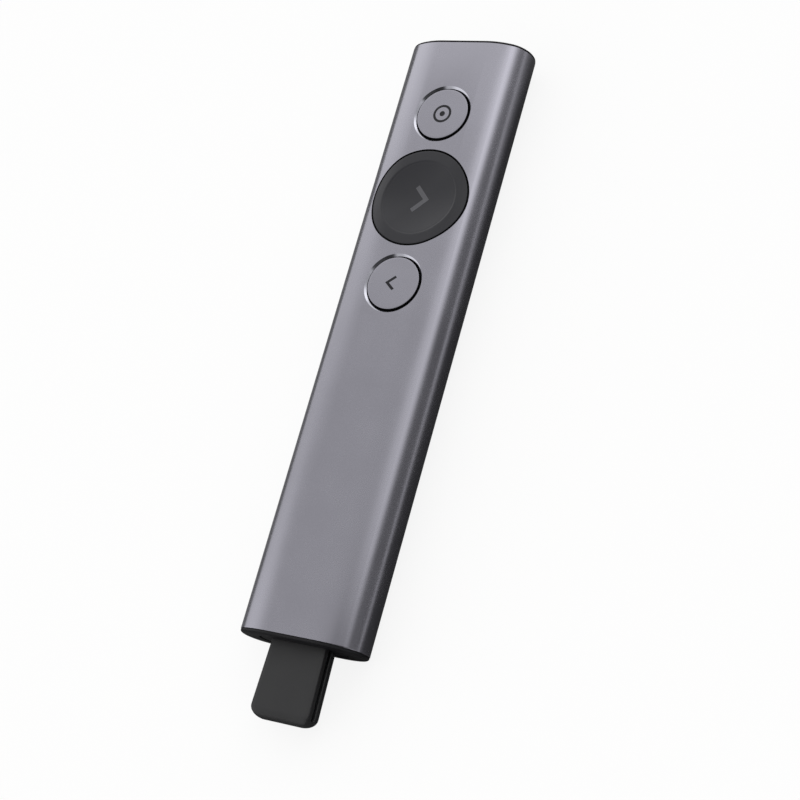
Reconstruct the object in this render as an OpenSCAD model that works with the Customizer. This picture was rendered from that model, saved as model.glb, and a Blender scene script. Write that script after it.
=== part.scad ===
// Wireless presentation clicker: an extruded tube with three push buttons, and a radio
// receiver that docks in the rear end and is drawn out by its pull tab.
// X is the width, +Y points to the front end and +Z is the button side. The back rests on z = 0.
// Inside the modules z = 0 is the tube's mid-plane and y = 0 its middle; placed() moves them out.

/* [Tube] */
// Length over both end caps
body_l = 131.3; // [128:0.1:140]
// Width of the tube
body_w = 28.1; // [27.6:0.1:30]
// Thickness of the tube
body_t = 12.1; // [12:0.1:13]
// Radius of the rounded sides
side_r = 5.3; // [5:0.1:5.8]
// Radius of the rounded sides inside the tube
inner_side_r = 3.7; // [3.3:0.1:4.2]
// Width of the flat on the button side
top_flat = 10; // [9:0.1:12]
// Width of the flat on the back
back_flat = 12; // [10:0.1:13]
// Wall thickness of the extrusion
wall = 1.2; // [1:0.05:1.4]

/* [End caps] */
// How far the rear cap covers the tube's end
rear_cap_t = 0.7; // [0.5:0.05:1.5]
// How far the front cap covers the tube's end
front_cap_t = 0.9; // [0.5:0.05:1.5]
// Width of the rounded edge of each cap
cap_edge = 0.95; // [0.4:0.05:1.2]
// Depth of each cap's spigot inside the tube
cap_spigot_l = 3.6; // [3:0.1:5]
// Thickness of the glued gasket under each cap
gasket_t = 0.15; // [0.1:0.05:0.3]
// Thickness of the web across the front cap's spigot
front_web_t = 0.8; // [0.6:0.1:1.2]
// Wall of the front cap's spigot
spigot_wall = 1; // [0.8:0.1:1.4]
// Radius of the status light's clear pin
light_r = 0.6; // [0.4:0.05:0.7]

/* [Buttons] */
// Distance from the front cap's face to the pointer button
pointer_setback = 17.9; // [17.5:0.1:22]
// Distance between one button and the next
button_pitch = 19.335; // [19.2:0.005:21]
// Radius of the two small buttons
small_button_r = 5.8; // [5.2:0.05:6]
// Radius of the big middle button
big_button_r = 10.48; // [10:0.01:10.8]
// Gap round each button in its hole
button_gap = 0.2; // [0.12:0.01:0.3]
// Polished chamfer round the two small holes
hole_chamfer = 0.4; // [0.2:0.05:0.5]
// Radius of the dish in the big button
dish_r = 8.4; // [7:0.1:9]
// Depth of the dish below the button's top
dish_depth = 1.05; // [0.7:0.05:1.2]
// Height of the step at the dish's edge
dish_step = 0.35; // [0.2:0.05:0.5]
// Travel of the two small buttons
small_travel = 0.3; // [0.2:0.05:0.35]
// Travel of the big button
big_travel = 0.4; // [0.25:0.05:0.5]
// Radius of the stem under each button
stem_r = 2; // [1.8:0.1:2.4]

/* [Switches and board] */
// Side of a switch body
switch_w = 6; // [5.2:0.1:6.2]
// Height of a switch body over the board
switch_body_h = 3.4; // [3:0.1:3.6]
// Height of a switch with its plunger
switch_h = 4.3; // [4.1:0.1:4.5]
// Radius of a switch plunger
plunger_r = 1.75; // [1.5:0.05:1.9]
// Clearance between the main board's edges and the chassis
board_gap = 0.9; // [0.3:0.1:1.2]
// Thickness of the main board
board_t = 0.8; // [0.6:0.1:1]
// Radius of the shank of the small screws
screw_r = 0.7; // [0.6:0.05:0.8]
// Height of a screw head
screw_head_h = 0.6; // [0.4:0.05:0.7]

/* [Battery and motor] */
// Length of the bay for the connector, between the battery cell and the button frame
connector_bay_l = 4.2; // [3.8:0.1:8]
// Width of the battery cell
battery_w = 13; // [10:0.5:15]
// Thickness of the battery cell
battery_t = 4; // [3:0.1:4.5]
// Radius of the coin vibration motor
motor_r = 4; // [3.6:0.1:5]
// Height of the coin vibration motor
motor_h = 2.7; // [2.4:0.1:3]
// Radius of the motor's fixed shaft
motor_shaft_r = 0.4; // [0.3:0.05:0.5]

/* [Receiver and dock] */
// How far the pull tab stands out behind the rear cap
tab_reach = 15.45; // [12:0.05:20]
// Width of the pull tab
tab_w = 13.7; // [11:0.1:15]
// Thickness of the folded tab over both layers
tab_t = 4.2; // [3.6:0.1:4.6]
// Gap between the tab's two layers
tab_gap = 1.2; // [0.8:0.1:1.6]
// Corner radius of the tab's end
tab_corner_r = 3; // [1.5:0.1:4]
// Width of the receiver's housing
receiver_w = 18.7; // [17.5:0.1:19]
// Thickness of the receiver's housing
receiver_t = 6; // [5.6:0.1:6.2]
// Length of the receiver's housing
receiver_l = 12.5; // [12:0.1:14]
// Corner radius of the receiver's housing
receiver_r = 2.4; // [2.2:0.1:2.7]
// How deep the receiver's housing sits in the rear cap
receiver_recess = 0.45; // [0.1:0.05:1]
// Width of the receiver's plug
plug_w = 12; // [11.8:0.1:12.2]
// Height of the receiver's plug
plug_t = 4.5; // [4.4:0.1:4.6]
// Length of the plug in front of the housing
plug_l = 12; // [11:0.1:13]
// Sheet thickness of the plug and of the charge port
sheet_t = 0.3; // [0.2:0.05:0.35]
// Clearance round the receiver in its pocket
pocket_gap = 0.2; // [0.1:0.05:0.25]
// Width of the charge port's mouth, over its shell
port_w = 8.94; // [8.8:0.01:9.1]
// Height of the charge port's shell
port_t = 3.26; // [3.1:0.01:3.4]
// Length of the charge port
port_l = 7.35; // [6.5:0.05:8]

/* [Inner frame] */
// Wall thickness of the chassis
sled_wall = 0.8; // [0.6:0.05:0.9]
// Clearance between the chassis or a spigot and the tube
slip_gap = 0.1; // [0.05:0.01:0.15]
// Wall thickness of the receiver's dock
dock_wall = 0.6; // [0.5:0.05:0.65]
// Thickness of the button frame's plate
frame_t = 0.7; // [0.5:0.05:0.8]
// Distance of the frame's screws from the middle
screw_x = 7.5; // [7.2:0.1:7.9]
// Radial running clearance of stems, plungers and the motor's rotor
running_gap = 0.05; // [0.03:0.01:0.08]
// Clearance between two pieces that lie one behind the other
end_gap = 0.1; // [0.05:0.01:0.15]

/* [Hidden] */
$fn = 64;

// The lengthwise layout
rear_y = -body_l / 2;
front_y = body_l / 2;
tube_rear_y = rear_y + rear_cap_t;
tube_front_y = front_y - front_cap_t;
pointer_y = front_y - pointer_setback;
next_y = pointer_y - button_pitch;
back_y = next_y - button_pitch;
tab_end_y = rear_y - tab_reach;
receiver_rear_y = rear_y + receiver_recess;
receiver_nose_y = receiver_rear_y + receiver_l;
plug_tip_y = receiver_nose_y + plug_l;
port_mouth_y = plug_tip_y + 6 * end_gap;
port_end_y = port_mouth_y + port_l;
rear_spigot_y = tube_rear_y + cap_spigot_l;
front_spigot_y = tube_front_y - cap_spigot_l;
front_web_y = tube_front_y - front_web_t;
sled_rear_y = rear_spigot_y + end_gap;
sled_front_y = front_spigot_y - end_gap;
board_rear_y = port_mouth_y + 2 * end_gap;
board_front_y = sled_front_y - end_gap;
motor_y = (next_y + back_y) / 2;
radio_y = (next_y + pointer_y) / 2;

// The levels, counted from the tube's mid-plane
top_z = body_t / 2;
ceiling_z = top_z - wall;
floor_z = -top_z + wall + slip_gap;
sled_floor_z = floor_z + sled_wall;
sled_top_z = 0.4;
board_top_z = -port_t / 2;
board_z = board_top_z - board_t;
board_w = 2 * (chassis_half_w(-board_z) - board_gap);
plunger_top_z = board_top_z + switch_h;
spare_travel = 0.15;
stroke_room = max(small_travel, big_travel) + spare_travel;
flange_t = 0.6;
flange_top_z = ceiling_z - 2 * slip_gap;
flange_z = flange_top_z - flange_t;
frame_top_z = flange_z - stroke_room;
frame_z = frame_top_z - frame_t;
tape_t = 0.15;
battery_z = board_top_z + tape_t;

// The buttons' holes and flanges
small_hole_r = small_button_r + button_gap;
big_hole_r = big_button_r + button_gap;
small_flange_r = small_hole_r + 0.6;
big_flange_reach = big_hole_r + 1;
big_flange_w = top_flat - 1;
guide_pin_r = 0.6;
guide_pin_x = 4;

// The button frame stands on legs that its screws pass through
frame_half_w = 9.3;
leg_r = 1.4;
leg_gap = 1;
screw_clear_r = screw_r + 0.1;
screw_pilot_r = screw_r + 0.02;
screw_head_r = 1.25;
frame_rear_y = back_y - small_flange_r - leg_gap - leg_r;
frame_front_y = pointer_y + small_flange_r + leg_gap + leg_r;
frame_screw_ys = [frame_rear_y, motor_y, frame_front_y];
board_screw_y = port_mouth_y + port_l / 2;

// The battery cell fills the length between the charge port and the connector's bay
port_to_battery = 1.2;
battery_rear_y = port_end_y + port_to_battery;
battery_front_y = frame_rear_y - leg_r - connector_bay_l;
battery_l = battery_front_y - battery_rear_y;

// Where screws go down into the chassis
screw_spots = [for (y = concat([board_screw_y], frame_screw_ys), side = [-1, 1]) [side * screw_x, y]];

// The pocket that the receiver slides in
pocket_w = receiver_w + 2 * pocket_gap;
pocket_t = receiver_t + 2 * pocket_gap;
pocket_r = receiver_r + pocket_gap;
dock_half_t = pocket_t / 2 + dock_wall;
dock_step_y = receiver_nose_y + end_gap + dock_wall;
dock_front_y = port_mouth_y - end_gap;
plug_bay_w = plug_w + 2 * pocket_gap;
plug_bay_t = plug_t + 2 * pocket_gap;
plug_bay_r = 1;
spring_y = (receiver_nose_y + plug_tip_y) / 2;
spring_w = 4;
spring_half_l = 4.6;
spring_seat_l = 1.6;
spring_rest_l = 1.2;

// The receiver's inside
root_l = 2.8;
root_wall = 1.1;
nose_wall = 1.7;
housing_wall = 1.2;
housing_cavity_w = receiver_w - 2 * housing_wall;
housing_cavity_t = receiver_t - 2 * housing_wall;
cavity_rear_y = receiver_rear_y + root_l + root_wall;
cavity_front_y = receiver_nose_y - nose_wall;
tongue_t = 1.9;
tongue_z = -plug_t / 2 + sheet_t;

// Colours
slate = [0.5, 0.5, 0.54];
black_plastic = [0.1, 0.1, 0.11];
grey_plastic = [0.3, 0.3, 0.32];
soft_black = [0.2, 0.2, 0.21];
steel = [0.75, 0.75, 0.77];
gold = [0.85, 0.68, 0.32];
board_green = [0.07, 0.25, 0.17];

// ---- Shapes that several pieces share ----

// Puts a piece that is drawn about the tube's middle into the part's frame
module placed() translate([0, tab_reach / 2, top_z]) children();

// Pulls an outline in X and Z along the length
module along_y(from, to)
    translate([0, to, 0]) rotate([90, 0, 0]) linear_extrude(to - from) children();

// Pulls an outline in Y and Z across the width
module along_x(from, to)
    translate([from, 0, 0]) rotate([90, 0, 90]) linear_extrude(to - from) children();

// The arc that runs from a flat into a rounded side of radius r, touching both
function shoulder_r(half_w, half_t, r, flat) =
    let (run = half_w - r - flat / 2)
    (run * run + half_t * half_t - r * r) / (2 * (half_t - r));

// One quarter of a tube's outline: flat, shoulder arc and rounded side
module outline_quarter(half_w, half_t, r, flat, inset) {
    side = [half_w - r, 0];
    arc_r = shoulder_r(half_w, half_t, r, flat);
    arc_centre = [flat / 2, half_t - arc_r];
    touch = side + (side - arc_centre) * (2 * half_t / norm(side - arc_centre));
    square([flat / 2, half_t - inset]);
    intersection() {
        translate(arc_centre) circle(arc_r - inset);
        polygon([[flat / 2, 0], side, touch, [flat / 2, 2 * half_t]]);
    }
    intersection() {
        translate(side) circle(r - inset);
        polygon([side, [2 * half_w, 0], [2 * half_w, 2 * half_t], touch]);
    }
}

module outline_of(half_w, half_t, r, inset) for (side = [0, 1]) mirror([side, 0]) {
    outline_quarter(half_w, half_t, r, top_flat, inset);
    mirror([0, 1]) outline_quarter(half_w, half_t, r, back_flat, inset);
}

// The tube's outside, moved inwards by inset
module outline(inset) outline_of(body_w / 2, top_z, side_r, inset);

// The tube's inside, moved inwards by inset
module bore(inset) outline_of(body_w / 2 - wall, ceiling_z, inner_side_r, inset);

// Half the width inside the chassis, a depth below the mid-plane that its shoulder arc reaches
function chassis_half_w(depth) =
    let (arc_r = shoulder_r(body_w / 2 - wall, ceiling_z, inner_side_r, back_flat),
         rise = depth - ceiling_z + arc_r, r = arc_r - slip_gap - sled_wall)
    back_flat / 2 + sqrt(r * r - rise * rise);

// What lies under the button side: its flat and shoulders, without the rounded sides
module crown(half_w) {
    arc_r = shoulder_r(body_w / 2, top_z, side_r, top_flat);
    translate([-top_flat / 2, 0]) square([top_flat, top_z]);
    for (side = [0, 1]) mirror([side, 0]) intersection() {
        translate([top_flat / 2, top_z - arc_r]) circle(arc_r);
        translate([top_flat / 2, 0]) square([half_w - top_flat / 2, body_t]);
    }
}

// A rectangle about the middle with round corners
module rounded(w, t, r) {
    square([w - 2 * r, t], center = true);
    square([w, t - 2 * r], center = true);
    for (x = [-1, 1], y = [-1, 1])
        translate([x * (w / 2 - r), y * (t / 2 - r)]) circle(r);
}

// A block that stands on the board, given by its middle and its width, length and height
module chip(x, y, size) translate([x - size.x / 2, y - size.y / 2, board_top_z]) cube(size);

// A cap's cover, rounded from its joint at y_joint to its face at y_face
module cap_cover(y_joint, y_face) {
    slice_t = 0.02;
    way = sign(y_face - y_joint);
    depth = abs(y_face - y_joint) - slice_t;
    hull() for (turn = [0, 30, 60, 90])
        translate([0, y_joint + way * depth * sin(turn), 0])
            along_y(min(0, way * slice_t), max(0, way * slice_t))
                outline(slip_gap / 2 + cap_edge * (1 - cos(turn)));
}

// ---- Tube and end caps ----

module housing_tube() color(slate) placed() difference() {
    along_y(tube_rear_y, tube_front_y) difference() {
        outline(0);
        bore(0);
    }
    for (y = [pointer_y, back_y]) translate([0, y, 0]) {
        cylinder(h = body_t, r = small_hole_r);
        translate([0, 0, top_z - hole_chamfer])
            cylinder(h = 2 * hole_chamfer, r1 = small_hole_r, r2 = small_hole_r + 2 * hole_chamfer);
    }
    translate([0, next_y, 0]) cylinder(h = body_t, r = big_hole_r);
}

module front_cap() color(black_plastic) placed() difference() {
    union() {
        cap_cover(tube_front_y + gasket_t, front_y);
        along_y(front_spigot_y, tube_front_y + gasket_t) bore(slip_gap);
    }
    along_y(front_spigot_y - 1, front_web_y) bore(slip_gap + spigot_wall);
    along_y(front_spigot_y, front_y + 1) translate([0, light_z]) circle(light_r + running_gap);
}

module rear_cap() color(black_plastic) placed() difference() {
    union() {
        cap_cover(tube_rear_y - gasket_t, rear_y);
        along_y(tube_rear_y - gasket_t, rear_spigot_y) bore(slip_gap);
    }
    along_y(rear_y - 1, rear_spigot_y + 1) rounded(pocket_w, pocket_t, pocket_r);
}

// A thin glued ring between the tube's end and a cap
module gasket(y) color(black_plastic) placed() along_y(y, y + gasket_t) difference() {
    outline(wall / 4);
    bore(0);
}

module front_gasket() gasket(tube_front_y);

module rear_gasket() gasket(tube_rear_y - gasket_t);

// ---- Chassis and button frame ----

// How far bosses and pads sink into the chassis floor, and how far a screw hole does
boss_sink = 0.3;
pilot_sink = 0.2;
pad_w = 10;
pad_l = 2;

// The chassis' trough, with room for the dock in it
module trough() difference() {
    along_y(sled_rear_y, sled_front_y) intersection() {
        difference() {
            bore(slip_gap);
            bore(slip_gap + sled_wall);
        }
        translate([-body_w / 2, -top_z]) square([body_w, top_z + sled_top_z]);
    }
    along_y(sled_rear_y - 1, dock_step_y + slip_gap) dock_outline(slip_gap);
}

module chassis() color(grey_plastic) placed() difference() {
    union() {
        trough();
        // Bosses under the board
        for (spot = screw_spots) translate([spot.x, spot.y, sled_floor_z - boss_sink])
            cylinder(h = board_z - sled_floor_z + boss_sink, r = leg_r);
        // Cradle pads under the dock
        for (y = [sled_rear_y + pad_l, receiver_nose_y - 2 * pad_l])
            translate([-pad_w / 2, y, sled_floor_z - boss_sink])
                cube([pad_w, pad_l, boss_sink - dock_half_t - sled_floor_z]);
    }
    for (spot = screw_spots) translate([spot.x, spot.y, sled_floor_z - pilot_sink])
        cylinder(h = body_t, r = screw_pilot_r);
}

module button_frame() color(grey_plastic) placed() difference() {
    union() {
        translate([-frame_half_w, frame_rear_y - leg_r, frame_z])
            cube([2 * frame_half_w, frame_front_y - frame_rear_y + 2 * leg_r, frame_t]);
        for (y = frame_screw_ys, side = [-1, 1]) translate([side * screw_x, y, board_top_z])
            cylinder(h = frame_top_z - board_top_z, r = leg_r);
    }
    for (y = frame_screw_ys, side = [-1, 1]) translate([side * screw_x, y, board_top_z - 1])
        cylinder(h = body_t, r = screw_clear_r);
    for (y = [pointer_y, next_y, back_y]) translate([0, y, frame_z - 1]) {
        cylinder(h = body_t, r = stem_r + running_gap);
        for (side = [-1, 1]) translate([side * guide_pin_x, 0, 0])
            cylinder(h = body_t, r = guide_pin_r + running_gap);
    }
}

// A screw from the level of its seat down into a chassis boss
module screw(spot, seat_z) translate([spot.x, spot.y, 0]) {
    translate([0, 0, sled_floor_z]) cylinder(h = seat_z - sled_floor_z + 0.1, r = screw_r);
    translate([0, 0, seat_z]) difference() {
        cylinder(h = screw_head_h, r = screw_head_r);
        translate([0, 0, screw_head_h / 2]) cylinder(h = screw_head_h, r = screw_r, $fn = 6);
    }
}

module frame_screws() color(steel) placed()
    for (y = frame_screw_ys, side = [-1, 1]) screw([side * screw_x, y], frame_top_z);

module board_screws() color(steel) placed()
    for (side = [-1, 1]) screw([side * screw_x, board_screw_y], board_top_z);

// ---- Buttons and their switches ----

// The stem that presses the switch, and the two pins that keep the button from turning
module stem_and_pins() {
    translate([0, 0, plunger_top_z]) cylinder(h = flange_top_z - plunger_top_z, r = stem_r);
    for (side = [-1, 1]) translate([side * guide_pin_x, 0, frame_z])
        cylinder(h = flange_top_z - frame_z, r = guide_pin_r);
}

// A button's visible cap, which follows the tube's outline
module button_cap(y, r) intersection() {
    translate([0, y, flange_z]) cylinder(h = body_t, r = r);
    along_y(y - 2 * r, y + 2 * r) crown(2 * r);
}

module small_button(y) color(slate) placed() {
    button_cap(y, small_button_r);
    translate([0, y, 0]) {
        translate([0, 0, flange_z]) cylinder(h = flange_t, r = small_flange_r);
        stem_and_pins();
    }
}

module pointer_button() small_button(pointer_y);

module back_button() small_button(back_y);

module next_button() color(soft_black) placed() {
    sag = dish_depth - dish_step;
    bowl_r = (dish_r * dish_r + sag * sag) / (2 * sag);
    difference() {
        button_cap(next_y, big_button_r);
        translate([0, next_y, top_z - dish_depth + bowl_r]) sphere(bowl_r, $fn = 200);
        translate([0, next_y, top_z - dish_step])
            cylinder(h = 2 * dish_step, r1 = dish_r, r2 = dish_r + 2 * dish_step);
    }
    translate([0, next_y, 0]) {
        // Tongues that keep the button under the tube's wall, front and rear
        translate([0, 0, flange_z]) intersection() {
            cylinder(h = flange_t, r = big_flange_reach);
            translate([-big_flange_w / 2, -body_w, 0]) cube([big_flange_w, 2 * body_w, flange_t]);
        }
        stem_and_pins();
    }
}

plunger_l = 2.4;

module switch_body(y) color(black_plastic) placed() difference() {
    chip(0, y, [switch_w, switch_w, switch_body_h]);
    translate([0, y, plunger_top_z - plunger_l - stroke_room])
        cylinder(h = body_t, r = plunger_r + running_gap);
}

module plunger(y) color(steel) placed()
    translate([0, y, plunger_top_z - plunger_l]) cylinder(h = plunger_l, r = plunger_r);

module pointer_switch() switch_body(pointer_y);

module next_switch() switch_body(next_y);

module back_switch() switch_body(back_y);

module pointer_plunger() plunger(pointer_y);

module next_plunger() plunger(next_y);

module back_plunger() plunger(back_y);

// ---- Main board and what it carries ----

board_corner_r = 1.5;

module main_board() color(board_green) placed() translate([0, 0, board_z]) difference() {
    translate([0, (board_rear_y + board_front_y) / 2, 0])
        linear_extrude(board_t) rounded(board_w, board_front_y - board_rear_y, board_corner_r);
    for (spot = screw_spots) translate([spot.x, spot.y, -1])
        cylinder(h = board_t + 2, r = screw_clear_r);
}

// The stamped can over the radio, open underneath
shield = [10, 9, 1.6];
shield_sheet = 0.2;

module radio_shield() color(steel) placed() difference() {
    chip(0, radio_y, shield);
    translate([0, 0, -shield_sheet])
        chip(0, radio_y, shield - [2 * shield_sheet, 2 * shield_sheet, 0]);
}

module radio_chip() color(black_plastic) placed() chip(-1.4, radio_y, [5, 5, 0.9]);

module crystal() color(steel) placed() chip(3, radio_y, [1.6, 2, 0.5]);

// Ahead of the pointer button's switch
sensor = [2.5, 3, 0.86];
sensor_gap = 0.7;
sensor_y = pointer_y + (switch_w + sensor.y) / 2 + sensor_gap;

module motion_sensor() color(black_plastic) placed() chip(0, sensor_y, sensor);

// Beside the battery's connector
charger = [3, 3, 0.8];
charger_x = -5;

module charger_chip() color(black_plastic) placed() chip(charger_x, connector_y, charger);

// Two rows of small capacitors and resistors along each edge of the board
passive = [0.5, 1, 0.5];
passive_edge = 1;
passive_pitch = 2.2;
passive_count = 6;
passive_row_l = (passive_count - 1) * passive_pitch;
passive_row_ys = [battery_front_y - passive_row_l, radio_y - passive_row_l];

module board_passives() color([0.55, 0.45, 0.35]) placed()
    for (side = [-1, 1], row_y = passive_row_ys, i = [0 : passive_count - 1])
        chip(side * (board_w / 2 - passive_edge), row_y + i * passive_pitch, passive);

antenna_size = [6, 2, 1.2];
antenna_x = 5;
antenna_edge = 0.6;

module antenna() color([0.9, 0.9, 0.88]) placed()
    chip(antenna_x, board_front_y - antenna_edge - antenna_size.y / 2, antenna_size);

// The status light shines through a clear pin in the front cap
light_z = board_top_z + light_r;
led = [1.6, 1.2, 2 * light_r];
collar_l = 0.5;
collar_lip = 0.4;

module status_led() color([0.95, 0.95, 0.9]) placed()
    chip(0, board_front_y - led.y / 2, led);

module light_pipe() color([0.85, 0.9, 0.92]) placed() {
    along_y(board_front_y + end_gap, front_y) translate([0, light_z]) circle(light_r);
    along_y(front_web_y - collar_l, front_web_y) translate([0, light_z]) circle(light_r + collar_lip);
}

// ---- Battery ----

cell_corner_r = 0.8;
tape_inset = [1, 1.5];
foam_inset = 3;

module battery_cell() color([0.72, 0.74, 0.78]) placed()
    along_y(battery_rear_y, battery_front_y) translate([0, battery_z + battery_t / 2])
        rounded(battery_w, battery_t, cell_corner_r);

module battery_tape() color([0.9, 0.88, 0.8]) placed()
    chip(0, (battery_rear_y + battery_front_y) / 2,
         [battery_w - 2 * tape_inset.x, battery_l - 2 * tape_inset.y, tape_t]);

module battery_foam() color(soft_black) placed() {
    foam_z = battery_z + battery_t;
    translate([-top_flat / 2, battery_rear_y + foam_inset, foam_z])
        cube([top_flat, battery_l - 2 * foam_inset, ceiling_z - slip_gap - foam_z]);
}

connector = [3.4, 1.8, 1.5];
connector_setback = 1.7;
connector_y = battery_front_y + connector_setback + connector.y / 2;
lead_x = 0.8;
lead_bead_r = 0.3;
lead_r = 0.27;

module battery_connector() color([0.92, 0.9, 0.84]) placed() chip(0, connector_y, connector);

// A straight piece of wire with a bead at each end, which closes the bend
module wire(from, to) {
    run = to - from;
    for (end = [from, to]) translate(end) sphere(lead_bead_r);
    translate(from) rotate([0, acos(run.z / norm(run)), atan2(run.y, run.x)])
        cylinder(h = norm(run), r = lead_r);
}

module battery_leads() placed() for (side = [-1, 1]) color(side < 0 ? "darkred" : "black") {
    start = [side * lead_x, battery_front_y + lead_bead_r, battery_z + battery_t / 2];
    bend = [side * lead_x, battery_front_y + 1, board_top_z + connector.z / 2 + lead_bead_r / 2];
    end = [side * lead_x, connector_y - connector.y / 2 - lead_bead_r, board_top_z + connector.z / 2];
    wire(start, bend);
    wire(bend, end);
}

// ---- Vibration motor ----

motor_sheet = 0.25;
motor_z = board_top_z + tape_t;
rotor_gap = 0.3;
rotor_hub_wall = 0.8;
motor_pad_inset = 0.4;

module motor_pad() color([0.9, 0.88, 0.8]) placed() translate([0, motor_y, board_top_z])
    cylinder(h = tape_t, r = motor_r - motor_pad_inset);

module motor_can() color(steel) placed() translate([0, motor_y, motor_z]) difference() {
    cylinder(h = motor_h, r = motor_r);
    translate([0, 0, motor_sheet]) cylinder(h = motor_h - 2 * motor_sheet, r = motor_r - motor_sheet);
}

module motor_shaft() color(steel) placed() translate([0, motor_y, motor_z + motor_sheet])
    cylinder(h = motor_h - 2 * motor_sheet, r = motor_shaft_r);

// A half disc of heavy metal on a hub, so that its weight is off the shaft
module motor_rotor() color(gold) placed()
    translate([0, motor_y, motor_z + motor_sheet + rotor_gap]) difference() {
        rotor_h = motor_h - 2 * motor_sheet - 2 * rotor_gap;
        rotor_r = motor_r - motor_sheet - rotor_gap;
        union() {
            intersection() {
                cylinder(h = rotor_h, r = rotor_r);
                translate([-motor_r, 0, 0]) cube([2 * motor_r, motor_r, rotor_h]);
            }
            cylinder(h = rotor_h, r = motor_shaft_r + rotor_hub_wall);
        }
        translate([0, 0, -1]) cylinder(h = motor_h, r = motor_shaft_r + running_gap);
    }

// ---- Charge port ----

port_corner_r = port_t / 2 - 0.1;
port_block_l = 1.4;
port_tongue = [6.7, 0.7];
port_tongue_setback = 0.5;

// The port's outline, moved inwards by inset
module port_outline(inset)
    rounded(port_w - 2 * inset, port_t - 2 * inset, port_corner_r - inset);

module charge_port_shell() color(steel) placed() along_y(port_mouth_y, port_end_y) difference() {
    port_outline(0);
    port_outline(sheet_t);
}

module charge_port_tongue() color(black_plastic) placed() {
    along_y(port_end_y - port_block_l, port_end_y) port_outline(sheet_t);
    along_y(port_mouth_y + port_tongue_setback, port_end_y - port_block_l / 2)
        square(port_tongue, center = true);
}

// ---- Dock ----

// The dock's outline round the receiver's housing, moved outwards by grow
module dock_outline(grow) rounded(pocket_w + 2 * (dock_wall + grow), 2 * (dock_half_t + grow),
                                  pocket_r + dock_wall + grow);

module receiver_dock() color(grey_plastic) placed() difference() {
    union() {
        along_y(rear_spigot_y, dock_step_y) dock_outline(0);
        along_y(receiver_nose_y, dock_front_y)
            rounded(plug_bay_w + 2 * dock_wall, plug_bay_t + 2 * dock_wall, plug_bay_r);
    }
    along_y(rear_spigot_y - 1, receiver_nose_y + end_gap) rounded(pocket_w, pocket_t, pocket_r);
    along_y(receiver_nose_y, dock_front_y + 1) square([plug_bay_w, plug_bay_t], center = true);
    // Window for the spring, whose ends rest on the wall before and behind it
    translate([-spring_w / 2 - end_gap, spring_y - spring_half_l + spring_rest_l, 0])
        cube([spring_w + 2 * end_gap, 2 * (spring_half_l - spring_rest_l), body_t]);
}

// A leaf that dips through the dock's window and bears on the plug
module dock_spring() color(steel) placed() {
    leaf_t = 0.2;
    seat_z = plug_bay_t / 2 + dock_wall;
    dip_z = plug_t / 2 + running_gap;
    dip_half_l = 0.6;
    under = [
        [-spring_half_l, seat_z], [spring_seat_l - spring_half_l, seat_z], [-dip_half_l, dip_z],
        [dip_half_l, dip_z], [spring_half_l - spring_seat_l, seat_z], [spring_half_l, seat_z]
    ];
    over = [for (i = [len(under) - 1 : -1 : 0]) under[i] + [0, leaf_t]];
    along_x(-spring_w / 2, spring_w / 2) translate([spring_y, 0]) polygon(concat(under, over));
}

// ---- Receiver ----

plug_window = [2.2, 2.4];
plug_window_setback = 4.2;
tongue_setback = 0.4;
contact = [1, 7.4, 0.12];
contact_setback = 1.2;

module receiver_plug() color(steel) placed() difference() {
    along_y(cavity_front_y, plug_tip_y) difference() {
        square([plug_w, plug_t], center = true);
        square([plug_w - 2 * sheet_t, plug_t - 2 * sheet_t], center = true);
    }
    // The two windows in each face that a socket's springs catch in
    for (side = [-1, 1])
        translate([side * plug_w / 4 - plug_window.x / 2, receiver_nose_y + plug_window_setback, -plug_t])
            cube([plug_window.x, plug_window.y, 2 * plug_t]);
}

module receiver_tongue() color(black_plastic) placed()
    translate([-plug_w / 2 + sheet_t, cavity_front_y, tongue_z])
        cube([plug_w - 2 * sheet_t, plug_tip_y - tongue_setback - cavity_front_y, tongue_t]);

module receiver_contacts() color(gold) placed()
    for (x = [-3.5, -1, 1, 3.5])
        translate([x - contact.x / 2, plug_tip_y - contact_setback - contact.y, tongue_z + tongue_t])
            cube(contact);

receiver_board_t = 0.6;
receiver_board_gap = 4 * end_gap;
receiver_chip_size = [4, 4, 0.8];

module receiver_board() color(board_green) placed()
    translate([receiver_board_gap - housing_cavity_w / 2, cavity_rear_y + receiver_board_gap / 2,
               -housing_cavity_t / 2])
        cube([housing_cavity_w - 2 * receiver_board_gap,
              cavity_front_y - cavity_rear_y - receiver_board_gap, receiver_board_t]);

module receiver_chip() color(black_plastic) placed()
    translate([-receiver_chip_size.x / 2,
               (cavity_rear_y + cavity_front_y - receiver_chip_size.y) / 2,
               receiver_board_t - housing_cavity_t / 2])
        cube(receiver_chip_size);

module receiver_housing() color(black_plastic) placed() difference() {
    along_y(receiver_rear_y, receiver_nose_y) rounded(receiver_w, receiver_t, receiver_r);
    along_y(receiver_rear_y - 1, receiver_rear_y + root_l)
        square([tab_w + 2 * running_gap, tab_t + 2 * running_gap], center = true);
    along_y(cavity_rear_y, cavity_front_y) square([housing_cavity_w, housing_cavity_t], center = true);
    along_y(cavity_front_y - end_gap, receiver_nose_y + 1) square([plug_w, plug_t], center = true);
}

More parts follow.
